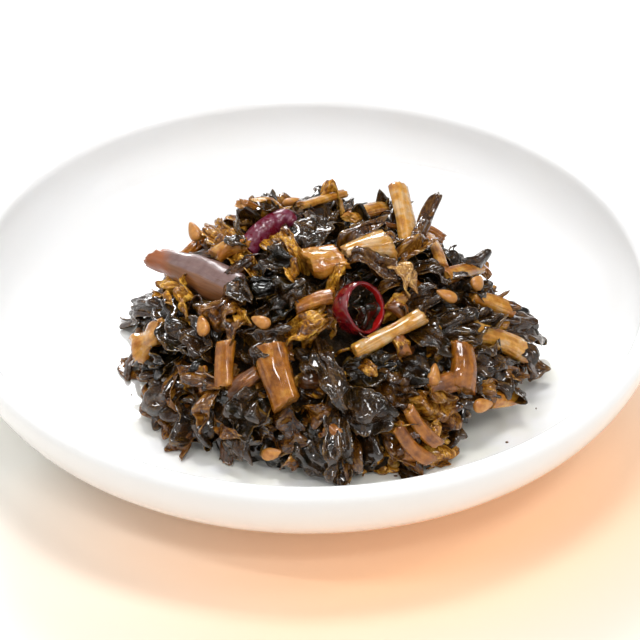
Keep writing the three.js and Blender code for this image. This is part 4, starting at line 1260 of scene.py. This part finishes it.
def filler_leaves(count):
    for i, x, y, rng in spread_places(count, 20, 1.2):
        swell = float(waves(np.array([x, y]), np.random.default_rng(8), 5, 11.0))
        far = backness(y)
        # more amber leaves towards the top and back: partly the greens' own colour, partly painted light for
        # the brighter, backlit top
        amber = 0.5 + 0.5 * math.tanh((y + 1) / 4) - 0.45 * far
        tint = rng.choice([0.0, 0.1, 0.45, 0.8, 1.0], p=tint_shares(amber))
        turn, length, width, lift = draws(rng, (0, 360), (5.5, 10), (3.4, 6.2), (-1.9, -0.9))
        tip, folds, fold = draws(rng, (0, 0.8), (0.8, 1.9), (0.8, 1.3))
        lift = lift + 1.4 * far + 0.4 * swell
        rib = rng.choice([0, 0.5])
        yield Leaf(x, y, turn, length, width, lift, tip, folds, fold, tint, rib, FILLER_LEAF + i)


def wisps():
    """Small torn scraps that lie over the stalks' cut ends and sides."""
    rng = np.random.default_rng(64)
    number = WISP
    for stalk in STALKS:
        for share in draws(rng, (-0.05, 0.2), (0.8, 1.05)):
            if rng.random() < 0.6:
                continue
            number += 1
            x, y, lift = (a + share * (b - a) for a, b in zip(stalk.start, stalk.end))
            dx, dy, turn, length, width = draws(
                rng, (-0.8, 0.8), (-0.8, 0.8), (0, 360), (2.4, 4.6), (1.2, 2.6)
            )
            rise, tip, folds, fold = draws(rng, (0.2, 1.1), (-0.4, 0.6), (0.6, 1.6), (0.7, 1.2))
            tint = rng.choice([0.0, 0.1, 0.5, 0.9], p=[0.5, 0.2, 0.15, 0.15])
            lift = min(lift, 1.8) + rise
            yield Leaf(x + dx, y + dy, turn, length, width, lift, tip, folds, fold, tint, 0, number)


def filler_stalks(count):
    for i, x, y, rng in spread_places(count, 31, 1.6):
        far = backness(y)
        angle, length, width = draws(rng, (0, TURN), (2.6, 5.6), (1.2, 3.0))
        low, high = draws(rng, (-1.6, -0.6), (-0.9, 0.1))
        slimness, tint = draws(rng, (0.5, 0.85), (0.45, 1.0))
        ribs = int(rng.integers(4, 8))
        depth, arch, bow, rough = draws(rng, (0.03, 0.16), (0.1, 0.5), (0, 0.3), (1.0, 2.4))
        dx, dy = length / 2 * math.cos(angle), length / 2 * math.sin(angle)
        start, end = (x - dx, y - dy, low + far), (x + dx, y + dy, high + far)
        shape = (width, width * slimness, tint, ribs, depth, arch, bow, 0.0, rough, 0.0)
        yield Stalk(start, end, *shape, FILLER_STALK + i)


def make_leaves():
    settings = bpy.context.scene.greens_mound
    cell, thickness = settings.cell / MM, settings.leaf_thickness / MM
    material = leaf_material()
    everything = numbered(LEAVES) + list(wisps()) + list(filler_leaves(settings.filler_leaves))
    for number, first in enumerate(range(0, len(everything), SHEAF)):
        batch = Batch()
        for spec in everything[first : first + SHEAF]:
            leaf_patch(batch, spec, cell * (1 if spec.seed <= len(LEAVES) else COARSER), thickness)
        piece = batch.object(f"leaves_{number + 1}", material)
        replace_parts(piece, "greens_mound")


def make_stalks():
    settings = bpy.context.scene.greens_mound
    batch = Batch()
    for spec in numbered(STALKS) + list(filler_stalks(settings.filler_stalks)):
        stalk_patch(batch, spec)
    piece = batch.object("stalks", stalk_material())
    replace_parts(piece, "greens_mound")


PURPLE_START, PURPLE_END = np.array([-21.2, 3.4, 18.3]), np.array([-9.2, -8.0, 20.3])


def make_purple_stalk():
    """A split stalk: smooth skin over its back and sides, wider and thicker towards its right end."""
    rng = np.random.default_rng(900)
    facing = unit(np.array([0.1, 0.6 * TO_CAMERA[1], 1.2 * TO_CAMERA[2]]))
    length, axis, side, over = rod_frame(PURPLE_START, PURPLE_END, facing)
    shrink, along, turn = rod_rings(80, 64, [0.0, 0.5, 0.8, 0.95])
    rough = 0.035 * sum(waves(place, rng, 4, 4.0) for place in round_places(length * along, 3, turn))
    width = 1.55 + 1.15 * np.minimum(1, 1.5 * along) - 0.25 * along**6
    depth = 1.0 + 0.75 * along
    x = squarer(np.cos(turn), 0.8) * (1 + rough) * shrink
    z = squarer(np.sin(turn), 0.75) * (1 + rough) * shrink
    z = z - 0.3 * np.maximum(x, 0) ** 2
    near_end = np.clip(np.abs(2 * along - 1) * 6 - 5, 0, 1) ** 2
    slant = near_end * np.where(along > 0.5, 0.9 * x, -1.0 * x - 0.5 * z)
    run = length * along + slant + near_end * 0.2 * waves(layers(4 * x, 4 * z), rng, 4, 1.8)
    height = z * depth + 0.9 * np.sin(math.pi * along)
    points = moved(PURPLE_START, (run, axis), (x * width, side), (height, over))
    quads = quads_of(vertex_grid(*points.shape[:2], wrapped=True), flip=True)
    face = np.clip((0.3 + 0.1 * x - along) * 5, 0, 1)
    flesh = np.clip(0.5 + 1.6 * (1.2 * x - z + 0.5) + 3 * rough, 0, 1)
    patch = (points, quads, layers(length * along, 5 * turn), layers(0.0, face, 0.0, flesh))
    piece = closed_piece("purple_stalk_skin", patch, purple_stalk_material())
    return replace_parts(piece, "purple_stalk")


RING_MIDDLE = np.array([7.0, -15.2, 22.9])
RING_WALL, RING_HEIGHT = 0.5, 3.1


def ring_frame():
    """The ring's axis, mostly towards the front and up, and two directions across it."""
    right = np.array([1.0, 0, 0])
    upward = np.cross(TO_CAMERA, right)
    axis = unit(TO_CAMERA + right * math.tan(math.radians(34)) + upward * math.tan(math.radians(4)))
    aside = unit(np.cross([0, 0, 1.0], axis))
    return axis, aside, np.cross(axis, aside)


def make_chilli_ring():
    radius = bpy.context.scene.greens_toppings.ring_radius / MM
    axis, aside, upright = ring_frame()
    rng = np.random.default_rng(77)
    turn, loop = bearings(120)[None, :], bearings(40)[:, None]
    out = squarer(np.cos(loop), 0.6) * RING_WALL / 2
    up = squarer(np.sin(loop), 0.5) * RING_HEIGHT / 2
    up = up * (0.74 - 0.36 * np.cos(turn))
    places = layers(3 * np.cos(turn), 3 * np.sin(turn))
    reach = radius - RING_WALL / 2 + out + 0.05 * waves(places, rng, 4, 3.0) - 0.035 * up**2
    squeeze = 1 + 0.03 * np.cos(2 * turn + 1)
    rise = up + 0.06 * waves(places + 9, rng, 3, 2.0)
    across, upwards = reach * squeeze * np.cos(turn), reach / squeeze * np.sin(turn)
    points = moved(RING_MIDDLE, (across, aside), (upwards, upright), (rise, axis))
    index = vertex_grid(*points.shape[:2], wrapped=True)
    quads = quads_of(np.vstack([index, index[0]]))
    inner = np.clip(-np.cos(loop) * 1.6 - 0.3, 0, 1) + 0 * turn
    patch = (points, quads, np.zeros((*inner.shape, 2)), layers(0.0, inner, 0.0, 0.0))
    ring = closed_piece("chilli_ring_skin", patch, chilli_material())
    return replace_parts(ring, "chilli_ring")


STRIP_PATH = np.array(
    [[-8.5, -0.6, 22.5], [-6.9, 1.2, 23.7], [-5.2, 2.7, 24.3], [-3.4, 4.2, 24.5], [-2.2, 4.0, 23.7]]
)
STRIP_ROWS, STRIP_COLUMNS = 60, 22


def smooth_path(knots, count):
    """Catmull-Rom curve through the knots."""
    padded = np.vstack([2 * knots[0] - knots[1], knots, 2 * knots[-1] - knots[-2]])
    out = []
    for share in np.linspace(0, len(knots) - 1 - 1e-6, count):
        a, b, c, d = padded[int(share) : int(share) + 4]
        t = share - int(share)
        bend = (2 * a - 5 * b + 4 * c - d) * t**2
        out.append(0.5 * (2 * b + (c - a) * t + bend + (3 * b - a - 3 * c + d) * t**3))
    return np.array(out)


def make_chilli_strip():
    rng = np.random.default_rng(78)
    path = smooth_path(STRIP_PATH, STRIP_ROWS)
    ahead = unit(np.gradient(path, axis=0))
    across = unit(np.cross(TO_CAMERA, ahead))
    out = np.cross(ahead, across)[:, None]
    t = np.linspace(-1, 1, STRIP_COLUMNS)[None, :]
    flat = layers(np.linspace(0, 14, STRIP_ROWS)[:, None], 1.2 * t)
    width = (1.35 - 0.45 * np.clip(np.linspace(-1.2, 1, STRIP_ROWS), 0, 1))[:, None]
    hollow = 0.75 * (1 - t**2) - 0.35
    points = moved(path[:, None], (width * t, across[:, None]), (hollow, out))
    points = moved(points, (0.06 * waves(flat, rng, 4, 1.6), out))
    sheet = thick_sheet(points, 0.55 * (0.75 + 0.25 * (1 - t**4)))
    under = np.repeat([0.0, 1.0], STRIP_ROWS * STRIP_COLUMNS)
    patch = (*sheet, np.concatenate([flat, flat]), layers(0.0, under, 0.0, 0.0))
    strip = closed_piece("chilli_strip_skin", patch, dark_chilli_material())
    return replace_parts(strip, "chilli_strip")


def make_seeds():
    settings = bpy.context.scene.greens_toppings
    points, turns, sizes = [], [], []
    for number, seed in enumerate(SEEDS):
        point, normal, along, across = headings(seed.x, seed.y, seed.turn)
        pitch = math.radians(seed.pitch)
        cos, sin = math.cos(pitch), math.sin(pitch)
        basis = Matrix([along * cos + normal * sin, across, normal * cos - along * sin])
        points.append((point + normal * (seed.lift - 0.1)) * MM)
        turns.append(basis.transposed().to_euler())
        sizes.append(1.0 + 0.06 * math.sin(2.4 * number))
    values = {
        "Length": settings.seed_length,
        "Width": 0.53 * settings.seed_length,
        "Thickness": 0.36 * settings.seed_length,
        "Material": seed_material(),
    }
    attributes = (("turn", "FLOAT_VECTOR", turns), ("size", "FLOAT", sizes))
    mesh = run_tree(seed_tree(), points, [], values, attributes)
    seeds = add_piece("sesame_seeds", mesh, None)
    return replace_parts(seeds, "greens_mound")


def make_threads():
    """Fine root hairs and veins that stray over the mound."""
    rng = np.random.default_rng(55)
    points, edges, thick = [], [], []
    for _, x, y, _ in list(spread_places(50, 56, 2.5))[:THREADS]:
        spot = np.array([x, y])
        angle, length, bend = draws(rng, (0, TURN), (2.5, 6), (-0.5, 0.5))
        for i in range(THREAD_STEPS):
            share = i / (THREAD_STEPS - 1)
            heading = angle + bend * 6 * share + 0.5 * math.sin(9 * share + angle)
            spot = spot + length / THREAD_STEPS * np.array([math.cos(heading), math.sin(heading)])
            lift = 0.5 + 1.2 * math.sin(math.pi * share) * rng.uniform(0.85, 1.0)
            points.append(rest_on_dish(lifted(*spot, lift)) * MM)
            thick.append(0.5 + 0.7 * math.sin(math.pi * share))
            if i:
                edges.append((len(points) - 2, len(points) - 1))
    values = {"Radius": 0.00011, "Material": bpy.data.materials["wet stalk"]}
    mesh = run_tree(thread_tree(), points, edges, values, (("thick", "FLOAT", thick),))
    set_tone(mesh, np.tile([0.95, 0.0, 0.5, 0.0], len(mesh.vertices)))
    threads = add_piece("fine_threads", mesh, None)
    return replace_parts(threads, "greens_mound")


def make_crumbs():
    rng = np.random.default_rng(91)
    points = []
    while len(points) < CRUMBS:
        angle, reach = draws(rng, (0, TURN), (1.0, 1.22))
        x = MOUND_X + MOUND_HALF_WIDTH * reach * math.cos(angle)
        y = MOUND_Y + MOUND_FRONT * reach * math.sin(angle)
        if math.hypot(x, y) < FLOOR_RADIUS + 8:
            points.append((x * MM, y * MM, (float(inside_height(math.hypot(x, y))) + 0.1) * MM))
    values = {"Radius": 0.0002, "Seed": 4, "Material": crumb_material()}
    mesh = run_tree(crumb_tree(), points, [], values)
    return add_piece("spice_crumbs", mesh, None)


# ---------------------------------------------------------------- stage

CAMERA_TARGET = np.array([1.563, -8.862, 16.5])
FOCAL_LENGTH, SENSOR = 173.53, 36.0
LIGHT_DISTANCE = 0.6
WARM, COOL, WHITE, LAMP = (1.0, 0.99, 0.97), (0.97, 0.985, 1.0), (1.0, 1.0, 1.0), (1.0, 0.99, 0.98)

# name, direction from the mound, width and height, watts, colour, roll in degrees
LIGHTS = (
    ("strip", (-0.46, -0.32, 0.83), (0.26, 0.03), 0.6, LAMP, 38),
    ("softbox", (-0.12, 0.78, 0.62), (0.2, 0.1), 1.4, COOL, 0),
    ("front", (0.15, -0.75, 0.65), (0.9, 0.5), 0.5, LAMP, 0),
    ("front glint", (0.12, -0.6, 0.78), (0.14, 0.05), 0.5, LAMP, -20),
    ("overhead", (0.02, 0.1, 1.0), (0.18, 0.12), 1.3, WHITE, 0),
    ("high right", (0.55, -0.15, 0.8), (0.16, 0.12), 0.6, WHITE, 0),
    ("left", (-0.8, 0.2, 0.45), (0.6, 0.4), 0.55, WARM, 0),
    ("right", (0.75, -0.45, 0.45), (0.5, 0.3), 0.25, WARM, 0),
    ("window", (-0.23, 0.94, 0.22), (0.05, 0.07), 0.6, WHITE, 0),
)


def add_area(name, direction, size, power, tint, roll):
    """A rectangular light in the given direction from the mound, turned to face it."""
    light = bpy.data.lights.new(name, "AREA")
    light.shape, light.energy, light.color = "RECTANGLE", power, tint
    light.size, light.size_y = size
    holder = add_object(name, light)
    toward = Vector(direction).normalized()
    holder.location = toward * LIGHT_DISTANCE
    facing = (-toward).to_track_quat("-Z", "Y").to_matrix() @ Euler((0, 0, math.radians(roll))).to_matrix()
    holder.rotation_euler = facing.to_euler()


def make_world():
    """A soft studio sky, a little brighter towards the front."""
    world = bpy.data.worlds.new("studio")
    world.use_nodes = True
    sky = Tree(world.node_tree)
    background = world.node_tree.nodes["Background"]
    direction = sky.out("ShaderNodeTexCoord", output="Generated")
    toward = tuple(unit(np.array([-0.2, -0.6, 0.5])))
    facing = sky.vector("DOT_PRODUCT", direction, toward, output="Value")
    sky.put(background.inputs[0], (0.985, 0.99, 1.0))
    sky.put(background.inputs[1], sky.spread(facing, -0.1, 0.95, 0.2, 0.28))
    bpy.context.scene.world = world


def make_camera(elevation, distance):
    camera = bpy.data.cameras.new("camera")
    camera.lens, camera.sensor_width, camera.clip_start = FOCAL_LENGTH, SENSOR, 0.01
    holder = add_object("camera", camera)
    back = np.array([0, -math.cos(elevation), math.sin(elevation)])
    holder.location = CAMERA_TARGET * MM + back * distance
    holder.rotation_euler = (math.pi / 2 - elevation, 0, 0)
    bpy.context.scene.camera = holder


def make_table():
    reach = 1.5
    corners = [(-reach, -reach, 0), (reach, -reach, 0), (reach, reach, 0), (-reach, reach, 0)]
    mesh = bpy.data.meshes.new("table")
    mesh.from_pydata(corners, [], [(0, 1, 2, 3)])
    mesh.materials.append(table_material())
    table = add_object("table", mesh)


def make_stage():
    settings = bpy.context.scene.greens_stage
    make_table()
    make_camera(settings.elevation, settings.distance)
    make_world()
    for light in LIGHTS:
        add_area(*light)
    view = bpy.context.scene.view_settings
    view.view_transform, view.look, view.exposure = "Standard", "None", 0.0


# ---------------------------------------------------------------- operators


class GREENS_OT_stage(bpy.types.Operator):
    """Add the table, the lights and the camera"""

    bl_idname = "greens.stage"
    bl_label = "Stage"

    def execute(self, context):
        make_stage()
        return {"FINISHED"}


class GREENS_OT_dish(bpy.types.Operator):
    """Add the white glazed dish"""

    bl_idname = "greens.dish"
    bl_label = "Dish"

    def execute(self, context):
        make_dish()
        return {"FINISHED"}


class GREENS_OT_core(bpy.types.Operator):
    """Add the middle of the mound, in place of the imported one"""

    bl_idname = "greens.core"
    bl_label = "Packed Core"

    def execute(self, context):
        make_core()
        return {"FINISHED"}


class GREENS_OT_leaves(bpy.types.Operator):
    """Add the crumpled leaves"""

    bl_idname = "greens.leaves"
    bl_label = "Leaves"

    def execute(self, context):
        make_leaves()
        return {"FINISHED"}


class GREENS_OT_stalks(bpy.types.Operator):
    """Add the chopped stalks"""

    bl_idname = "greens.stalks"
    bl_label = "Stalks"

    def execute(self, context):
        make_stalks()
        return {"FINISHED"}


class GREENS_OT_purple_stalk(bpy.types.Operator):
    """Add the long stalk with the purple skin"""

    bl_idname = "greens.purple_stalk"
    bl_label = "Purple Stalk"

    def execute(self, context):
        make_purple_stalk()
        return {"FINISHED"}


class GREENS_OT_chilli(bpy.types.Operator):
    """Add the chilli ring and the chilli strip"""

    bl_idname = "greens.chilli"
    bl_label = "Chilli"

    def execute(self, context):
        make_chilli_ring()
        make_chilli_strip()
        return {"FINISHED"}


class GREENS_OT_seeds(bpy.types.Operator):
    """Add the sesame seeds"""

    bl_idname = "greens.seeds"
    bl_label = "Sesame Seeds"

    def execute(self, context):
        make_seeds()
        return {"FINISHED"}


class GREENS_OT_bits(bpy.types.Operator):
    """Add the fine threads and the crumbs"""

    bl_idname = "greens.bits"
    bl_label = "Threads and Crumbs"

    def execute(self, context):
        make_threads()
        make_crumbs()
        return {"FINISHED"}


OPERATORS = (
    GREENS_OT_stage,
    GREENS_OT_dish,
    GREENS_OT_core,
    GREENS_OT_leaves,
    GREENS_OT_stalks,
    GREENS_OT_purple_stalk,
    GREENS_OT_chilli,
    GREENS_OT_seeds,
    GREENS_OT_bits,
)


class GREENS_PT_panel(bpy.types.Panel):
    """Lists the pieces and their settings"""

    bl_idname = "GREENS_PT_panel"
    bl_label = "Pickled Greens"
    bl_space_type = "VIEW_3D"
    bl_region_type = "UI"
    bl_category = "Pickled Greens"

    def draw(self, context):
        for name, group in SETTINGS.items():
            box = self.layout.box()
            for field in group.__annotations__:
                box.prop(getattr(context.scene, name), field)
        for cls in OPERATORS:
            self.layout.operator(cls.bl_idname)


CLASSES = (*SETTINGS.values(), *OPERATORS, GREENS_PT_panel)


def register():
    for cls in CLASSES:
        bpy.utils.register_class(cls)
    for name, group in SETTINGS.items():
        setattr(bpy.types.Scene, name, bpy.props.PointerProperty(type=group))


def unregister():
    for name in SETTINGS:
        delattr(bpy.types.Scene, name)
    for cls in reversed(CLASSES):
        bpy.utils.unregister_class(cls)


def main():
    register()
    for cls in OPERATORS:
        group, name = cls.bl_idname.split(".")
        getattr(getattr(bpy.ops, group), name)()


if __name__ == "__main__":
    main()
